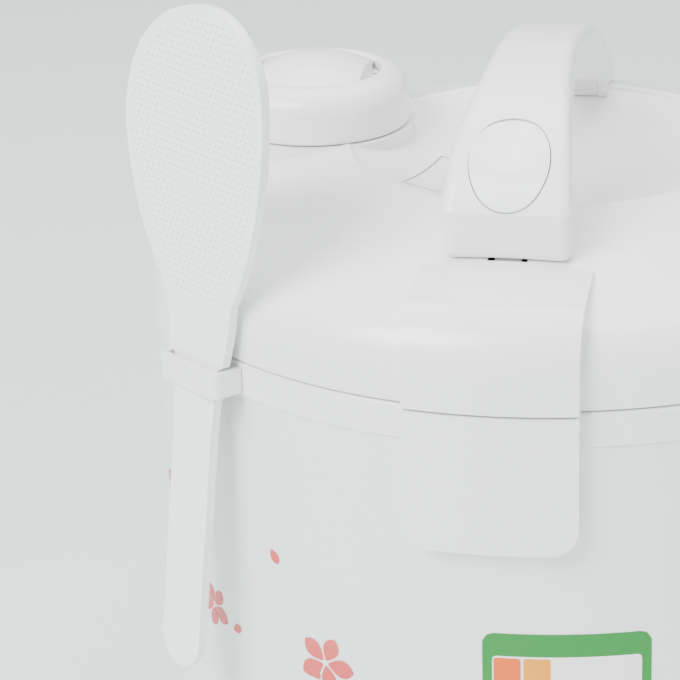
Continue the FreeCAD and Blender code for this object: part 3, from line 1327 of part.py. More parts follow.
def rice_paddle():
    """Paddle: upright blade, grip that leans outwards below the holder."""
    body = new_body("rice_paddle")
    half = S.paddle_thickness / 2
    bend = SEAM + 10
    tip = SEAM - S.paddle_tip
    lean = S.paddle_tip * tangent(S.grip_lean) + 10 * tangent(S.grip_lean)
    out = -S.paddle_out
    top = SEAM + S.paddle_top
    side = [(out - half, top), (out - half, bend), (out - lean - half, tip), (out - lean + half, tip),
            (out + half, bend), (out + half, top)]
    pad(body, "YZ_Plane", side, 120, symmetric=True)
    x = S.paddle_offset
    grip, neck = S.grip_half_width, S.neck_half_width
    right_arc, left_arc = S.blade_right - S.blade_crown, S.blade_left + S.blade_crown
    right_high, left_high, foot = top - right_arc, top - left_arc, SEAM + 19
    right_side = cap_radius(right_high - foot, S.blade_right - neck - 6)
    left_side = cap_radius(left_high - foot, S.blade_left - neck - 6)
    rest = SEAM - S.holder_drop + 0.7
    front = [
        (x - grip, tip + grip), (x + grip, tip + grip, grip), (x + grip, SEAM - 25), (x + neck, rest - 0.9),
        (x + neck + 2.2, rest + 0.5), (x + neck + 6, foot), (x + S.blade_right, right_high, right_side),
        (x + S.blade_crown, top, right_arc), (x - S.blade_left, left_high, left_arc),
        (x - neck - 6, foot, left_side), (x - neck - 2.2, rest + 0.5),
        (x - neck, rest - 0.9), (x - grip, SEAM - 25)]
    edge = rectangle(-90, 70, tip - 20, top + 20)
    pocket(body, "XZ_Plane", front, 400, frame=edge, symmetric=True)
    spatula_frame(body)


def build():
    base_cover()
    feet()
    base_screws()
    outer_casing()
    upper_ring()
    inner_shell()
    side_heater()
    heating_plate()
    plate_screws()
    heating_element()
    thermostat_sleeve()
    thermostat_cap()
    thermostat_ferrite()
    thermostat_magnet()
    thermostat_spring()
    switch_bracket()
    switch_pin()
    switch_lever()
    cook_key()
    microswitch()
    thermal_fuse()
    control_panel()
    lamp_lenses()
    lamp_board()
    indicator_lamps()
    power_inlet()
    inlet_pins()
    inner_pot()
    lid_cover()
    lid_frame()
    inner_lid_plate()
    inner_lid_knob()
    lid_gasket()
    vent_gasket()
    handle_shell()
    handle_under_cover()
    handle_screws()
    release_button()
    latch_lever()
    latch_pin()
    latch_bracket()
    latch_springs()
    latch_strike()
    hinge_pin()
    hinge_spring()
    vent_cap()
    vent_plug()
    vent_cup()
    dew_collector()
    spatula_holder()
    rice_paddle()


def check():
    """Stop when an object failed or a piece has no valid shape."""
    failed = [item.Label for item in doc.Objects if {"Invalid", "Error"} & set(item.State)]
    failed += [item.Label for item in PIECES if item.Shape.isNull() or not item.Shape.isValid()]
    if failed:
        raise RuntimeError("failed: " + ", ".join(failed))


def export():
    os.makedirs("parts", exist_ok=True)
    for item in PIECES:
        item.Shape.exportStep(f"parts/{item.Label}.step")
        solids = len(item.Shape.Solids)
        print(f"{item.Label}: {solids} solid(s), {item.Shape.Volume / 1000:.2f} cm3")


build()
doc.recompute()
check()
export()
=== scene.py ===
"""The rice cooker's looks: finishes on its parts, the paddle's dots, the printed blooms, two plain labels and a stage."""
import json
import math
import random

import bmesh
import bpy
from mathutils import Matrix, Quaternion, Vector
from mathutils.bvhtree import BVHTree


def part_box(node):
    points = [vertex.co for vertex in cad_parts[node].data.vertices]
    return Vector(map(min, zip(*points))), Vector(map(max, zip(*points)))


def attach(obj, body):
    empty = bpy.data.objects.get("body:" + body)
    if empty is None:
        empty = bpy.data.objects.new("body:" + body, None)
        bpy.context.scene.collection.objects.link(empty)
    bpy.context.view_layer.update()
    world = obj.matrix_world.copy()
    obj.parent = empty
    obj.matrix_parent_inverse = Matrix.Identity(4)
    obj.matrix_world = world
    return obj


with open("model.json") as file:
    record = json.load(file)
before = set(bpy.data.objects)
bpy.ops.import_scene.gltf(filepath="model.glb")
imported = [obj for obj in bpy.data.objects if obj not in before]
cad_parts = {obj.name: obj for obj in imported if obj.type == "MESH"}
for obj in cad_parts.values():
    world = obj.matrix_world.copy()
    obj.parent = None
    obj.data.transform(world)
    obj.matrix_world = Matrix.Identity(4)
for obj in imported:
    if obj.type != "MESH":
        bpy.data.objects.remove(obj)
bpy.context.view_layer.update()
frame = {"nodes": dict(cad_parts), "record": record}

bl_info = {
    "name": "Rice cooker looks",
    "version": (1, 0, 0),
    "blender": (4, 5, 0),
    "location": "3D View > Sidebar > Cooker",
    "description": "Finishes, raised dots, printed blooms, labels and stage for a rice cooker",
    "category": "Object",
}

MM = 0.001
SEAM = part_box("lid_cover")[0].z
CASING_LOW, CASING_HIGH = (corner.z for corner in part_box("outer_casing"))
CASING_FOOT_RADIUS = 127.6 * MM
CASING_TOP_RADIUS = 129.4 * MM
PADDLE_LOW, PADDLE_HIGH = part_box("rice_paddle")
PADDLE_WAY = Vector((math.cos(math.radians(-130)), math.sin(math.radians(-130)), 0))
PADDLE_SIDE = Vector((-PADDLE_WAY.y, PADDLE_WAY.x, 0))

# The label's layers: border and header widths, and how thick one printed layer is.
LABEL_BORDER, LABEL_HEADER, LABEL_LAYER = 3 * MM, 7.6 * MM, 0.1 * MM

# The soft studio lights: name, place in metres, width in metres and power in watts.
LIGHTS = (("key", (-0.9, -1.3, 1.5), 1.1, 78), ("fill", (1.5, -0.9, 0.9), 1.2, 12),
          ("top", (0.1, 0.4, 1.9), 1.6, 44))

# The camera: its place and what it looks at in metres, its lens in millimetres, then its turn to the
# left, its tilt and its roll in degrees.
CAMERA_PLACE, CAMERA_AIM, CAMERA_LENS = (0.1183, -0.9044, 0.5141), (0, 0, 0.18), 155.9
CAMERA_TURN, CAMERA_TILT, CAMERA_ROLL = 4.06, -1.59, -0.22


def linear(hexcode):
    """An sRGB hex colour as linear RGBA."""
    channels = [int(hexcode[i:i + 2], 16) / 255 for i in (1, 3, 5)]
    return [c / 12.92 if c <= 0.04045 else ((c + 0.055) / 1.055) ** 2.4 for c in channels] + [1.0]


def add(tree, kind, inputs=None, **settings):
    """Adds a node to a tree with its settings, and its inputs linked or set."""
    node = tree.nodes.new(kind)
    for name, value in settings.items():
        setattr(node, name, value)
    for key, value in (inputs or {}).items():
        if isinstance(value, bpy.types.NodeSocket):
            tree.links.new(value, node.inputs[key])
        else:
            node.inputs[key].default_value = value
    return node


# Each finish: two sRGB tones that it drifts between, metallic, roughness range, pattern, grain in
# millimetres, relief in millimetres, IOR (None keeps a metal's default) and how much light it passes.
FINISHES = {
    # Glossy injection-moulded polypropylene: soft highlights with a faint flow ripple.
    "lid_plastic": ("#F0F0EE", "#ECECEA", 0, (0.20, 0.27), "even", 9, 0.010, 1.49, 0),
    # The same plastic in a cooler white, on the paddle and the button.
    "white_plastic": ("#FAFBFD", "#F6F8FA", 0, (0.24, 0.32), "even", 7, 0.010, 1.49, 0),
    # Stoved gloss enamel on sheet steel: a shallow orange peel, drawn coarser than real to show.
    "casing_paint": ("#F2F3F2", "#EEEFEE", 0, (0.14, 0.20), "even", 4, 0.008, 1.52, 0),
    # Satin-moulded polypropylene with a fine spark-eroded grain.
    "base_plastic": ("#E6E6E3", "#DEDEDB", 0, (0.42, 0.52), "even", 0.9, 0.030, 1.49, 0),
    # Moulded nitrile rubber: dull, with a powdery bloom.
    "foot_rubber": ("#1B1B1B", "#262626", 0, (0.75, 0.88), "even", 1.2, 0.040, 1.52, 0),
    # Translucent silicone: milky and slightly waxy.
    "seal_rubber": ("#DCDCD8", "#D0D0CC", 0, (0.38, 0.50), "even", 3, 0.015, 1.41, 0.15),
    # Galvanised sheet steel: patchy zinc spangle.
    "steel_sheet": ("#B4B7B9", "#9EA2A5", 1, (0.32, 0.48), "even", 6, 0.010, None, 0),
    # Drawn spring wire: bright, with fine lines along the drawing.
    "spring_steel": ("#A9ACAF", "#8F9396", 1, (0.25, 0.38), "brushed", 0.4, 0.004, None, 0),
    # Zinc-plated screw steel: even and bright.
    "screw_steel": ("#C4C7C8", "#AEB2B4", 1, (0.20, 0.32), "even", 1.5, 0.004, None, 0),
    # Die-cast aluminium, turned on its face: rings round the axis.
    "plate_aluminium": ("#C8CACB", "#B4B7B8", 1, (0.28, 0.42), "turned", 0.7, 0.012, None, 0),
    # Spun aluminium pot, drawn as its spun rings under a thin dark coat.
    "pot_aluminium": ("#8A8C8E", "#747678", 1, (0.34, 0.46), "turned", 1.1, 0.010, None, 0),
    # Brushed and anodised aluminium sheet.
    "lid_aluminium": ("#D2D4D4", "#C2C4C5", 1, (0.26, 0.38), "turned", 0.6, 0.006, None, 0),
    # Steel tube, browned by heat.
    "heater_steel": ("#5A534D", "#3E3935", 1, (0.45, 0.62), "even", 5, 0.012, None, 0),
    # Mica band in crumpled aluminium foil.
    "heater_band": ("#B9B2A6", "#9D9588", 1, (0.30, 0.55), "even", 3, 0.080, None, 0),
    # Pressed and sintered ferrite: dark and granular.
    "ferrite": ("#2A2B2D", "#1E1F21", 0, (0.55, 0.70), "even", 0.5, 0.030, 1.7, 0),
    # Nickel-plated magnet steel.
    "magnet_steel": ("#BFC0C2", "#A9ABAE", 1, (0.14, 0.24), "even", 2, 0.003, None, 0),
    # Gloss polypropylene on the control panel.
    "console_plastic": ("#EDEDEB", "#E8E8E6", 0, (0.20, 0.27), "even", 9, 0.010, 1.49, 0),
    # Dyed gloss ABS on the cooking key.
    "key_plastic": ("#C5241E", "#B91F1A", 0, (0.20, 0.28), "even", 4, 0.008, 1.53, 0),
    # Clear red acrylic lens.
    "lens_red": ("#D6261F", "#C81F19", 0, (0.06, 0.12), "even", 3, 0.004, 1.49, 0.7),
    # Blown lamp glass with an amber fill.
    "lamp_glass": ("#E9A45C", "#DE9448", 0, (0.05, 0.10), "even", 2, 0.003, 1.5, 0.7),
    # Paper phenolic board: brown fibres.
    "board": ("#8E6B3E", "#7A5A32", 0, (0.45, 0.58), "brushed", 0.8, 0.012, 1.55, 0),
    # Matt glass-filled nylon on the inlet.
    "inlet_plastic": ("#141414", "#1D1D1D", 0, (0.52, 0.64), "even", 0.7, 0.025, 1.53, 0),
    # Turned brass pins.
    "brass_pin": ("#C9AC62", "#B89A52", 1, (0.20, 0.32), "brushed", 0.5, 0.004, None, 0),
    # Moulded phenolic on the microswitch.
    "switch_plastic": ("#1C1C1E", "#252527", 0, (0.40, 0.52), "even", 1, 0.015, 1.55, 0),
    # Woven glass-fibre sleeve, lacquered.
    "fuse_sleeve": ("#DDD8CB", "#CFC9BA", 0, (0.55, 0.68), "brushed", 0.9, 0.060, 1.5, 0),
    # Clear-white polypropylene on the dew collector.
    "dew_plastic": ("#E8ECEE", "#DFE4E6", 0, (0.22, 0.32), "even", 6, 0.010, 1.49, 0.25),
    # Screen-printed enamel ink: flat colour that drifts at random between a deep and a lighter red.
    "bloom_ink": ("#C4201C", "#DE6A62", 0, (0.22, 0.32), "even", 5, 0.004, 1.5, 0),
    # Glossy printed vinyl, in the label's plain fields.
    "vinyl_green": ("#12852C", "#0F7C28", 0, (0.28, 0.36), "even", 8, 0.004, 1.5, 0),
    "vinyl_white": ("#F3F3F1", "#EDEDEB", 0, (0.28, 0.36), "even", 8, 0.004, 1.5, 0),
    "vinyl_orange": ("#E8650A", "#E05E08", 0, (0.28, 0.36), "even", 8, 0.004, 1.5, 0),
    "vinyl_amber": ("#EE9A10", "#E6930E", 0, (0.28, 0.36), "even", 8, 0.004, 1.5, 0),
    "vinyl_grey": ("#8B8F92", "#808487", 0, (0.28, 0.36), "even", 8, 0.004, 1.5, 0),
}


def finish(slot, colour=None):
    """The material of a finish, made once, with its pattern at its real size."""
    if slot in bpy.data.materials:
        return bpy.data.materials[slot]
    light, dark, metallic, rough, pattern, grain, relief, ior, clear = FINISHES[slot]
    tones = [linear(light), linear(dark)]
    if colour is not None:
        tones = [list(colour) + [1.0], [c * 0.965 for c in colour] + [1.0]]
    material = bpy.data.materials.new(slot)
    material.use_nodes = True
    tree = material.node_tree
    tree.nodes.clear()
    place = add(tree, "ShaderNodeTexCoord").outputs["Object"]
    if pattern == "turned":
        parts = add(tree, "ShaderNodeSeparateXYZ", {0: place})
        flat = add(tree, "ShaderNodeCombineXYZ", {"X": parts.outputs["X"], "Y": parts.outputs["Y"]})
        radius = add(tree, "ShaderNodeVectorMath", {0: flat.outputs[0]}, operation="LENGTH")
        place = add(tree, "ShaderNodeCombineXYZ", {"X": radius.outputs["Value"]}).outputs[0]
    elif pattern == "brushed":
        place = add(tree, "ShaderNodeMapping", {"Vector": place, "Scale": (0.06, 1, 1)}).outputs[0]
    grains = add(tree, "ShaderNodeTexNoise", {"Vector": place, "Scale": 1 / (grain * MM), "Detail": 3.0})
    drift = add(tree, "ShaderNodeTexNoise", {"Vector": place, "Scale": 1 / (max(grain, 8) * 4 * MM)})
    tone = add(tree, "ShaderNodeMix", {
        "Factor": drift.outputs["Fac"], 6: tones[0], 7: tones[1]}, data_type="RGBA")
    dull = add(tree, "ShaderNodeMapRange", {
        "Value": grains.outputs["Fac"], "To Min": rough[0], "To Max": rough[1]})
    bump = add(tree, "ShaderNodeBump", {
        "Height": grains.outputs["Fac"], "Strength": 0.35, "Distance": relief * MM})
    shader = add(tree, "ShaderNodeBsdfPrincipled", {
        "Base Color": tone.outputs[2], "Roughness": dull.outputs["Result"], "Normal": bump.outputs["Normal"],
        "Metallic": float(metallic), "Transmission Weight": float(clear)})
    if ior:
        shader.inputs["IOR"].default_value = ior
    add(tree, "ShaderNodeOutputMaterial", {"Surface": shader.outputs["BSDF"]})
    return material


def casing_radius(height):
    """The painted casing's radius at a height: it widens a little upwards."""
    share = (height - CASING_LOW) / (CASING_HIGH - CASING_LOW)
    return CASING_FOOT_RADIUS + share * (CASING_TOP_RADIUS - CASING_FOOT_RADIUS)


def on_casing(along, height, out):
    """A point on the casing's front, from its distance round from the middle, its height and its lift."""
    radius = casing_radius(height) + out
    turn = along / casing_radius(height)
    return Vector((radius * math.sin(turn), -radius * math.cos(turn), height))


def slab(shell, rows, place, low, high, material=0):
    """Adds a thin closed sheet to a mesh: rows of (u, v) points, put in place at two depths."""
    grids = [[[shell.verts.new(place(u, v, depth)) for u, v in row] for row in rows]
             for depth in (low, high)]
    count, width = len(rows), len(rows[0])
    faces = []
    for grid in grids:
        for i in range(count - 1):
            for j in range(width - 1):
                faces.append((grid[i][j], grid[i][j + 1], grid[i + 1][j + 1], grid[i + 1][j]))
    edge = [(0, j) for j in range(width)] + [(i, width - 1) for i in range(1, count)]
    edge += [(count - 1, j) for j in range(width - 2, -1, -1)] + [(i, 0) for i in range(count - 2, 0, -1)]
    for (a, b), (c, d) in zip(edge, edge[1:] + edge[:1]):
        faces.append((grids[0][a][b], grids[0][c][d], grids[1][c][d], grids[1][a][b]))
    for corners in faces:
        shell.faces.new(corners).material_index = material


def panel_rows(left, right, bottom, top, corner=0.0, columns=20, levels=12):
    """Rows of points that fill a rectangle with rounded corners."""
    rows = []
    for i in range(levels + 1):
        height = bottom + (top - bottom) * (0.5 - 0.5 * math.cos(math.pi * i / levels))
        inside = min(height - bottom, top - height)
        pull = corner - math.sqrt(max(corner ** 2 - (corner - inside) ** 2, 0)) if inside < corner else 0.0
        width = right - left - 2 * pull
        rows.append([(left + pull + width * j / columns, height) for j in range(columns + 1)])
    return rows


def mesh_piece(name, shell, materials):
    """Makes an object of a finished mesh, with its faces pointing outwards."""
    bmesh.ops.recalc_face_normals(shell, faces=shell.faces)
    mesh = bpy.data.meshes.new(name)
    shell.to_mesh(mesh)
    shell.free()
    for material in materials:
        mesh.materials.append(material)
    piece = bpy.data.objects.new(name, mesh)
    bpy.context.scene.collection.objects.link(piece)
    return piece


def as_mesh(piece, tree, inputs):
    """Runs a node tree on a piece, with its named inputs, and leaves the result as a plain mesh."""
    modifier = piece.modifiers.new(tree.name, "NODES")
    modifier.node_group = tree
    for item in tree.interface.items_tree:
        if item.item_type == "SOCKET" and item.in_out == "INPUT" and item.name in inputs:
            modifier[item.identifier] = inputs[item.name]
    graph = bpy.context.evaluated_depsgraph_get()
    made = bpy.data.meshes.new_from_object(piece.evaluated_get(graph), depsgraph=graph)
    piece.modifiers.remove(modifier)
    piece.data = made
    return piece


def surface_of(node):
    """A CAD node's surface, to find points on it."""
    mesh = frame["nodes"][node].data
    return BVHTree.FromPolygons([v.co for v in mesh.vertices], [p.vertices for p in mesh.polygons])


def repeat_tree(name, sockets):
    """A new node tree with a geometry input and output and named inputs for its sizes."""
    tree = bpy.data.node_groups.new(name, "GeometryNodeTree")
    tree.interface.new_socket("Geometry", in_out="INPUT", socket_type="NodeSocketGeometry")
    for label, kind in sockets:
        tree.interface.new_socket(label, in_out="INPUT", socket_type=kind)
    tree.interface.new_socket("Geometry", in_out="OUTPUT", socket_type="NodeSocketGeometry")
    return tree, add(tree, "NodeGroupInput").outputs


def end_tree(tree, instances, material):
    """Ends a tree with real geometry in its material."""
    real = add(tree, "GeometryNodeRealizeInstances", {"Geometry": instances})
    painted = add(tree, "GeometryNodeSetMaterial", {"Geometry": real.outputs["Geometry"], "Material": material})
    add(tree, "NodeGroupOutput", {"Geometry": painted.outputs["Geometry"]})


def dots_tree():
    """A low dome on every point, facing the way that the point's attribute says."""
    tree, given = repeat_tree("Raised dots", [
        ("Dot radius", "NodeSocketFloat"), ("Dot height", "NodeSocketFloat"), ("Material", "NodeSocketMaterial")])
    ball = add(tree, "GeometryNodeMeshUVSphere", {"Segments": 8, "Rings": 5, "Radius": 1.0})
    smooth = add(tree, "GeometryNodeSetShadeSmooth", {"Geometry": ball.outputs["Mesh"]})
    scale = add(tree, "ShaderNodeCombineXYZ", {
        "X": given["Dot radius"], "Y": given["Dot radius"], "Z": given["Dot height"]})
    way = add(tree, "GeometryNodeInputNamedAttribute", {"Name": "way"}, data_type="FLOAT_VECTOR")
    turn = add(tree, "FunctionNodeAlignRotationToVector", {"Vector": way.outputs["Attribute"]}, axis="Z")
    domes = add(tree, "GeometryNodeInstanceOnPoints", {
        "Points": given["Geometry"], "Instance": smooth.outputs["Geometry"],
        "Rotation": turn.outputs["Rotation"], "Scale": scale.outputs["Vector"]})
    end_tree(tree, domes.outputs["Instances"], given["Material"])
    return tree


def petals_tree():
    """A petal on every point, turned and sized by the point's attributes."""
    tree, given = repeat_tree("Printed petals", [
        ("Petal", "NodeSocketObject"), ("Petal size", "NodeSocketFloat"), ("Material", "NodeSocketMaterial")])
    petal = add(tree, "GeometryNodeObjectInfo", {"Object": given["Petal"]})
    spin = add(tree, "GeometryNodeInputNamedAttribute", {"Name": "spin"}, data_type="FLOAT")
    turn = add(tree, "ShaderNodeCombineXYZ", {"Y": spin.outputs["Attribute"]})
    share = add(tree, "GeometryNodeInputNamedAttribute", {"Name": "share"}, data_type="FLOAT")
    size = add(tree, "ShaderNodeMath", {
        0: share.outputs["Attribute"], 1: given["Petal size"]}, operation="MULTIPLY")
    scale = add(tree, "ShaderNodeCombineXYZ", {"X": size.outputs[0], "Y": 1.0, "Z": size.outputs[0]})
    petals = add(tree, "GeometryNodeInstanceOnPoints", {
        "Points": given["Geometry"], "Instance": petal.outputs["Geometry"],
        "Rotation": turn.outputs["Vector"], "Scale": scale.outputs["Vector"]})
    end_tree(tree, petals.outputs["Instances"], given["Material"])
    return tree


def point_piece(name, points, attributes):
    """An object of loose points with named values on them."""
    mesh = bpy.data.meshes.new(name)
    mesh.from_pydata(points, [], [])
    for label, kind, field, values in attributes:
        mesh.attributes.new(label, kind, "POINT").data.foreach_set(field, values)
    piece = bpy.data.objects.new(name, mesh)
    bpy.context.scene.collection.objects.link(piece)
    return piece


class CookerSizes(bpy.types.PropertyGroup):
    """Sizes of the details."""

    dot_radius: bpy.props.FloatProperty(name="Dot radius", description="Radius of a raised dot on the paddle",
                                        default=0.75 * MM, min=0.1 * MM, unit="LENGTH")
    dot_height: bpy.props.FloatProperty(name="Dot height", description="How far a dot stands out of the blade",
                                        default=0.6 * MM, min=0.05 * MM, unit="LENGTH")
    dot_pitch: bpy.props.FloatProperty(name="Dot pitch", description="Distance between neighbouring dots",
                                       default=2.5 * MM, min=1.2 * MM, unit="LENGTH")
    blade_rim: bpy.props.FloatProperty(name="Smooth rim", description="Width of the blade's plain edge",
                                       default=3.0 * MM, min=0.5 * MM, unit="LENGTH")
    paddle_edge: bpy.props.FloatProperty(name="Paddle edge", description="Rounding of the paddle's moulded edges",
                                         default=0.9 * MM, min=0.1 * MM, unit="LENGTH")
    dots_from: bpy.props.FloatProperty(name="Dots start", description="Height above the seam where the dots start",
                                       default=20 * MM, unit="LENGTH")
    petal_size: bpy.props.FloatProperty(name="Petal size", description="Length of the largest petals",
                                        default=11 * MM, min=1 * MM, unit="LENGTH")
    loose_petals: bpy.props.IntProperty(name="Loose petals", description="How many petals drift between the blooms",
                                        default=34, min=0)
    seed: bpy.props.IntProperty(name="Seed", description="Seed of the drifting petals", default=7)
    label_top: bpy.props.FloatProperty(name="Label top", description="Height of the front label's upper edge",
                                       default=107.6 * MM, unit="LENGTH")
    label_bottom: bpy.props.FloatProperty(name="Label bottom", description="Height of the front label's lower edge",
                                          default=67 * MM, unit="LENGTH")
    label_left: bpy.props.FloatProperty(name="Label left", description="Left edge of the front label",
                                        default=-3.5 * MM, unit="LENGTH")
    label_width: bpy.props.FloatProperty(name="Label width", description="Width of the front label",
                                         default=51 * MM, min=5 * MM, unit="LENGTH")


class CookerColours(bpy.types.PropertyGroup):
    """Colours of the main finishes."""

    lid: bpy.props.FloatVectorProperty(name="Lid", description="Colour of the lid and the collar", size=3,
                                       default=linear("#F0F0EE")[:3], min=0, max=1, subtype="COLOR")
    casing: bpy.props.FloatVectorProperty(name="Casing", description="Colour of the painted casing", size=3,
                                          default=linear("#F2F3F2")[:3], min=0, max=1, subtype="COLOR")
    paddle: bpy.props.FloatVectorProperty(name="Paddle", description="Colour of the paddle and the button", size=3,
                                          default=linear("#FAFBFD")[:3], min=0, max=1, subtype="COLOR")
    key: bpy.props.FloatVectorProperty(name="Key", description="Colour of the cooking key", size=3,
                                       default=linear("#C5241E")[:3], min=0, max=1, subtype="COLOR")


class COOKER_OT_finishes(bpy.types.Operator):
    """Gives every part of the cooker its finish"""

    bl_idname = "cooker.finishes"
    bl_label = "Finish the parts"

    def execute(self, context):
        colours = context.scene.cooker_colours
        chosen = {"lid_plastic": colours.lid, "casing_paint": colours.casing,
                  "white_plastic": colours.paddle, "key_plastic": colours.key}
        for row in frame["record"]["subparts"]:
            part, slot = frame["nodes"][row["node"]], row["material_slot"]
            material = finish(slot, chosen.get(slot))
            if not part.material_slots:
                part.data.materials.append(material)
            for held in part.material_slots:
                held.material = material
        paddle = frame["nodes"]["rice_paddle"]
        weld = paddle.modifiers.new("joined triangles", "WELD")
        weld.merge_threshold = 0.005 * MM
        soft = paddle.modifiers.new("soft edges", "BEVEL")
        soft.width, soft.segments = context.scene.cooker_sizes.paddle_edge, 3
        soft.limit_method, soft.angle_limit = "ANGLE", math.radians(40)
        return {"FINISHED"}


class COOKER_OT_paddle_dots(bpy.types.Operator):
    """Makes the raised dots that keep rice off both faces of the paddle's blade"""

    bl_idname = "cooker.paddle_dots"
    bl_label = "Paddle dots"

    def execute(self, context):
        sizes = context.scene.cooker_sizes
        blade = surface_of("rice_paddle")
        middle = (PADDLE_LOW + PADDLE_HIGH) / 2
        points, ways = [], []
        step = sizes.dot_pitch * math.sqrt(3) / 2
        rows = int((PADDLE_HIGH.z - SEAM - sizes.dots_from) / step)
        reach = int(40 * MM / sizes.dot_pitch)
        around = [Vector((math.cos(i * math.pi / 4), math.sin(i * math.pi / 4))) * sizes.blade_rim
                  for i in range(8)]
        for side in (1, -1):
            far, ahead = PADDLE_WAY * side * 60 * MM, -PADDLE_WAY * side
            for i in range(rows + 1):
                height = SEAM + sizes.dots_from + i * step
                for j in range(-reach, reach + 1):
                    across = (j + (i % 2) / 2) * sizes.dot_pitch
                    start = Vector((middle.x, middle.y, height)) + PADDLE_SIDE * across + far
                    place, way = blade.ray_cast(start, ahead)[:2]
                    if place is None or way.dot(ahead) > -0.8:
                        continue
                    tries = (start + PADDLE_SIDE * o.x + Vector((0, 0, o.y)) for o in around)
                    if all(blade.ray_cast(t, ahead)[0] is not None for t in tries):
                        points.append(place)
                        ways.extend(way)
        if not points:
            raise RuntimeError("no dot falls on the paddle's blade")
        dots = point_piece("paddle_dots", points, [("way", "FLOAT_VECTOR", "vector", ways)])
        as_mesh(dots, dots_tree(), {"Dot radius": sizes.dot_radius, "Dot height": sizes.dot_height,
                                    "Material": finish("white_plastic")})
        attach(dots, "paddle")
        return {"FINISHED"}


# The printed blooms, as degrees round the body from the front, height in millimetres and share of full size.
BLOOMS = [(-25, 87, 1.0), (-3.5, 90, 0.6), (24, 92, 1.0), (-49, 88, 0.8), (-67, 113, 0.7), (47, 104, 0.8),
          (70, 86, 1.0), (96, 108, 0.7), (-92, 90, 1.0), (-120, 106, 0.8), (124, 88, 0.9), (152, 104, 0.7),
          (-150, 88, 0.9)]


class COOKER_OT_blooms(bpy.types.Operator):
    """Prints the blooms and drifting petals round the lower part of the casing"""

    bl_idname = "cooker.blooms"
    bl_label = "Printed blooms"

    def execute(self, context):
        sizes = context.scene.cooker_sizes
        drift = random.Random(sizes.seed)
        points, spins, shares = [], [], []
        for degrees, height, share in BLOOMS:
            along = math.radians(degrees) * casing_radius(height * MM)
            first = drift.uniform(0, 72)
            for i in range(5):
                points.append((along, 0, height * MM))
                spins.append(math.radians(first + 72 * i))
                shares.append(share * drift.uniform(0.85, 1.0))
        for _ in range(sizes.loose_petals):
            height = drift.uniform(70, 122) * MM
            points.append((math.radians(drift.uniform(-165, 165)) * casing_radius(height), 0, height))
            spins.append(drift.uniform(0, math.tau))
            shares.append(drift.uniform(0.3, 0.55))
        left = sizes.label_left - sizes.petal_size
        right = sizes.label_left + sizes.label_width + sizes.petal_size
        over = sizes.label_top + sizes.petal_size
        clear = [i for i, p in enumerate(points) if not (left < p[0] < right and p[2] < over)]
        shell = bmesh.new()
        outline = []
        for i in range(9):
            half = 0.03 + 0.34 * math.sin(math.pi * i / 8) ** 0.8 * (0.55 + 0.45 * i / 8)
            outline.append([(side * half, 0.12 + 0.88 * i / 8) for side in (-1, -0.5, 0, 0.5, 1)])
        slab(shell, outline, lambda u, v, depth: Vector((u, depth, v)), 0.0, 0.08 * MM)
        petal = mesh_piece("petal_shape", shell, [])
        piece = point_piece("printed_blooms", [points[i] for i in clear], [
            ("spin", "FLOAT", "value", [spins[i] for i in clear]),
            ("share", "FLOAT", "value", [shares[i] for i in clear])])
        as_mesh(piece, petals_tree(), {"Petal": petal, "Petal size": sizes.petal_size,
                                       "Material": finish("bloom_ink")})
        bpy.data.objects.remove(petal)
        for vertex in piece.data.vertices:
            vertex.co = on_casing(vertex.co.x, vertex.co.z, 0.04 * MM + vertex.co.y)
        shell = bmesh.new()
        shell.from_mesh(piece.data)
        bmesh.ops.recalc_face_normals(shell, faces=shell.faces)
        shell.to_mesh(piece.data)
        shell.free()
        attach(piece, "body")
        return {"FINISHED"}


class COOKER_OT_front_label(bpy.types.Operator):
    """Sticks a plain coloured label, with no lettering, on the front of the casing"""

    bl_idname = "cooker.front_label"
    bl_label = "Front label"

    def execute(self, context):
        sizes = context.scene.cooker_sizes
        left, right = sizes.label_left, sizes.label_left + sizes.label_width
        bottom, top = sizes.label_bottom, sizes.label_top
        border, header, layer = LABEL_BORDER, LABEL_HEADER, LABEL_LAYER
        shell = bmesh.new()
        slab(shell, panel_rows(left, right, bottom, top, 3.5 * MM), on_casing, 0.04 * MM, layer, 0)
        slab(shell, panel_rows(left + border, right - border, bottom + border, top - header, 1.2 * MM),
             on_casing, layer, 1.4 * layer, 1)
        cell = (right - left - 2 * border) / 5
        for i, material in enumerate((2, 3, 4, 4, 4)):
            start = left + border + i * cell
            slab(shell, panel_rows(start + 0.4 * MM, start + cell - 0.4 * MM, top - header - 9.5 * MM,
                                   top - header - 0.6 * MM, 0.6 * MM, 6, 6),
                 on_casing, 1.4 * layer, 1.8 * layer, material)
        piece = mesh_piece("front_label", shell, [finish(s) for s in (
            "vinyl_green", "vinyl_white", "vinyl_orange", "vinyl_amber", "vinyl_white")])
        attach(piece, "body")
        return {"FINISHED"}


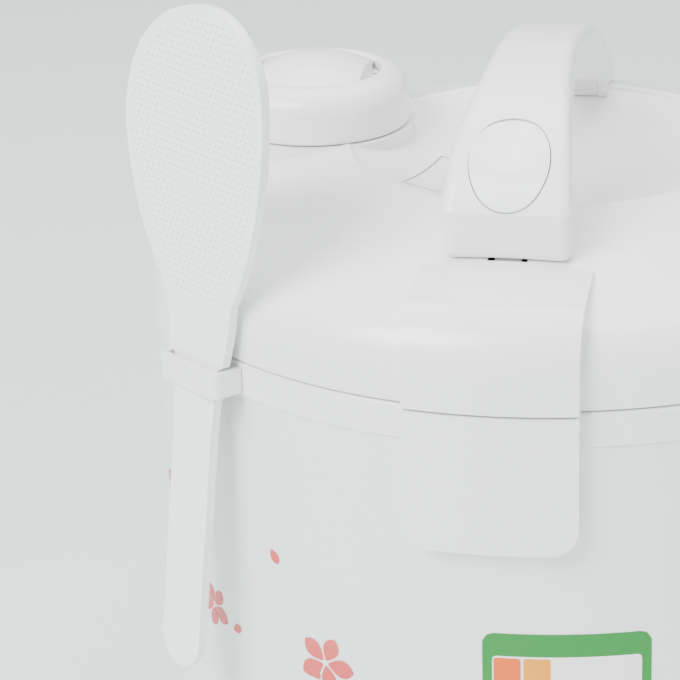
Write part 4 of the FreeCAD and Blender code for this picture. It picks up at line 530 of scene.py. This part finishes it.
class COOKER_OT_dish_label(bpy.types.Operator):
    """Sticks a plain bordered label, with no lettering, in the lid's dish beside the handle"""

    bl_idname = "cooker.dish_label"
    bl_label = "Dish label"

    def execute(self, context):
        lid = surface_of("lid_cover")
        centre, turn = Vector((-32 * MM, -14 * MM)), math.radians(82)

        def on_dish(along, across, out):
            x = centre.x + along * math.cos(turn) - across * math.sin(turn)
            y = centre.y + along * math.sin(turn) + across * math.cos(turn)
            place, way = lid.ray_cast(Vector((x, y, SEAM + 60 * MM)), Vector((0, 0, -1)))[:2]
            if place is None:
                raise RuntimeError("the dish label falls off the lid")
            return place + Vector((0, 0, 0.05 * MM + out))

        shell = bmesh.new()
        long, wide, line = 22 * MM, 9 * MM, 0.6 * MM
        slab(shell, panel_rows(-long, long, -wide, wide, 1.5 * MM), on_dish, 0.04 * MM, 0.1 * MM, 0)
        inner_long, inner_wide = long - 1.4 * MM, wide - 1.4 * MM
        for low, high in ((-inner_wide, -inner_wide + line), (inner_wide - line, inner_wide)):
            slab(shell, panel_rows(-inner_long, inner_long, low, high, 0, 20, 1), on_dish, 0.1 * MM, 0.14 * MM, 1)
        for low, high in ((-inner_long, -inner_long + line), (inner_long - line, inner_long)):
            slab(shell, panel_rows(low, high, -inner_wide + line, inner_wide - line, 0, 1, 12),
                 on_dish, 0.1 * MM, 0.14 * MM, 1)
        piece = mesh_piece("dish_label", shell, [finish("vinyl_white"), finish("vinyl_grey")])
        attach(piece, "lid")
        return {"FINISHED"}


class COOKER_OT_stage(bpy.types.Operator):
    """Sets the floor, the soft lights and the camera"""

    bl_idname = "cooker.stage"
    bl_label = "Stage"

    def execute(self, context):
        scene = context.scene
        shell = bmesh.new()
        bmesh.ops.create_grid(shell, x_segments=1, y_segments=1, size=6)
        floor = mesh_piece("floor", shell, [])
        paint = bpy.data.materials.new("studio_floor")
        paint.use_nodes = True
        paint.node_tree.nodes["Principled BSDF"].inputs["Base Color"].default_value = linear("#DDE3E3")
        paint.node_tree.nodes["Principled BSDF"].inputs["Roughness"].default_value = 0.7
        floor.data.materials.append(paint)
        world = bpy.data.worlds.new("studio")
        world.use_nodes = True
        world.node_tree.nodes["Background"].inputs["Color"].default_value = linear("#E6EDEE")
        world.node_tree.nodes["Background"].inputs["Strength"].default_value = 1.0
        scene.world = world
        middle = Vector((0, 0, 0.15))
        for name, place, size, power in LIGHTS:
            lamp = bpy.data.lights.new(name, "AREA")
            lamp.energy, lamp.size = power, size
            light = bpy.data.objects.new(name, lamp)
            scene.collection.objects.link(light)
            light.location = place
            light.rotation_euler = (middle - light.location).to_track_quat("-Z", "Y").to_euler()
        data = bpy.data.cameras.new("camera")
        data.sensor_width, data.lens = 36, CAMERA_LENS
        camera = bpy.data.objects.new("camera", data)
        scene.collection.objects.link(camera)
        camera.location = CAMERA_PLACE
        look = (Vector(CAMERA_AIM) - camera.location).to_track_quat("-Z", "Y")
        for axis, degrees in (((0, 1, 0), CAMERA_TURN), ((1, 0, 0), CAMERA_TILT), ((0, 0, 1), CAMERA_ROLL)):
            look = look @ Quaternion(axis, math.radians(degrees))
        camera.rotation_euler = look.to_euler()
        scene.camera = camera
        return {"FINISHED"}


STEPS = (COOKER_OT_finishes, COOKER_OT_paddle_dots, COOKER_OT_blooms, COOKER_OT_front_label,
         COOKER_OT_dish_label, COOKER_OT_stage)


class COOKER_PT_panel(bpy.types.Panel):
    """Lists the cooker's sizes, colours and steps"""

    bl_label = "Rice cooker"
    bl_idname = "COOKER_PT_panel"
    bl_space_type = "VIEW_3D"
    bl_region_type = "UI"
    bl_category = "Cooker"

    def draw(self, context):
        for group in (context.scene.cooker_sizes, context.scene.cooker_colours):
            for name in group.__annotations__:
                self.layout.prop(group, name)
        for step in STEPS:
            self.layout.operator(step.bl_idname)


CLASSES = (CookerSizes, CookerColours) + STEPS + (COOKER_PT_panel,)


def register():
    for made in CLASSES:
        bpy.utils.register_class(made)
    bpy.types.Scene.cooker_sizes = bpy.props.PointerProperty(type=CookerSizes)
    bpy.types.Scene.cooker_colours = bpy.props.PointerProperty(type=CookerColours)


def unregister():
    del bpy.types.Scene.cooker_sizes
    del bpy.types.Scene.cooker_colours
    for made in reversed(CLASSES):
        bpy.utils.unregister_class(made)


def main():
    register()
    for step in STEPS:
        group, name = step.bl_idname.split(".")
        getattr(getattr(bpy.ops, group), name)()


if __name__ == "__main__":
    main()
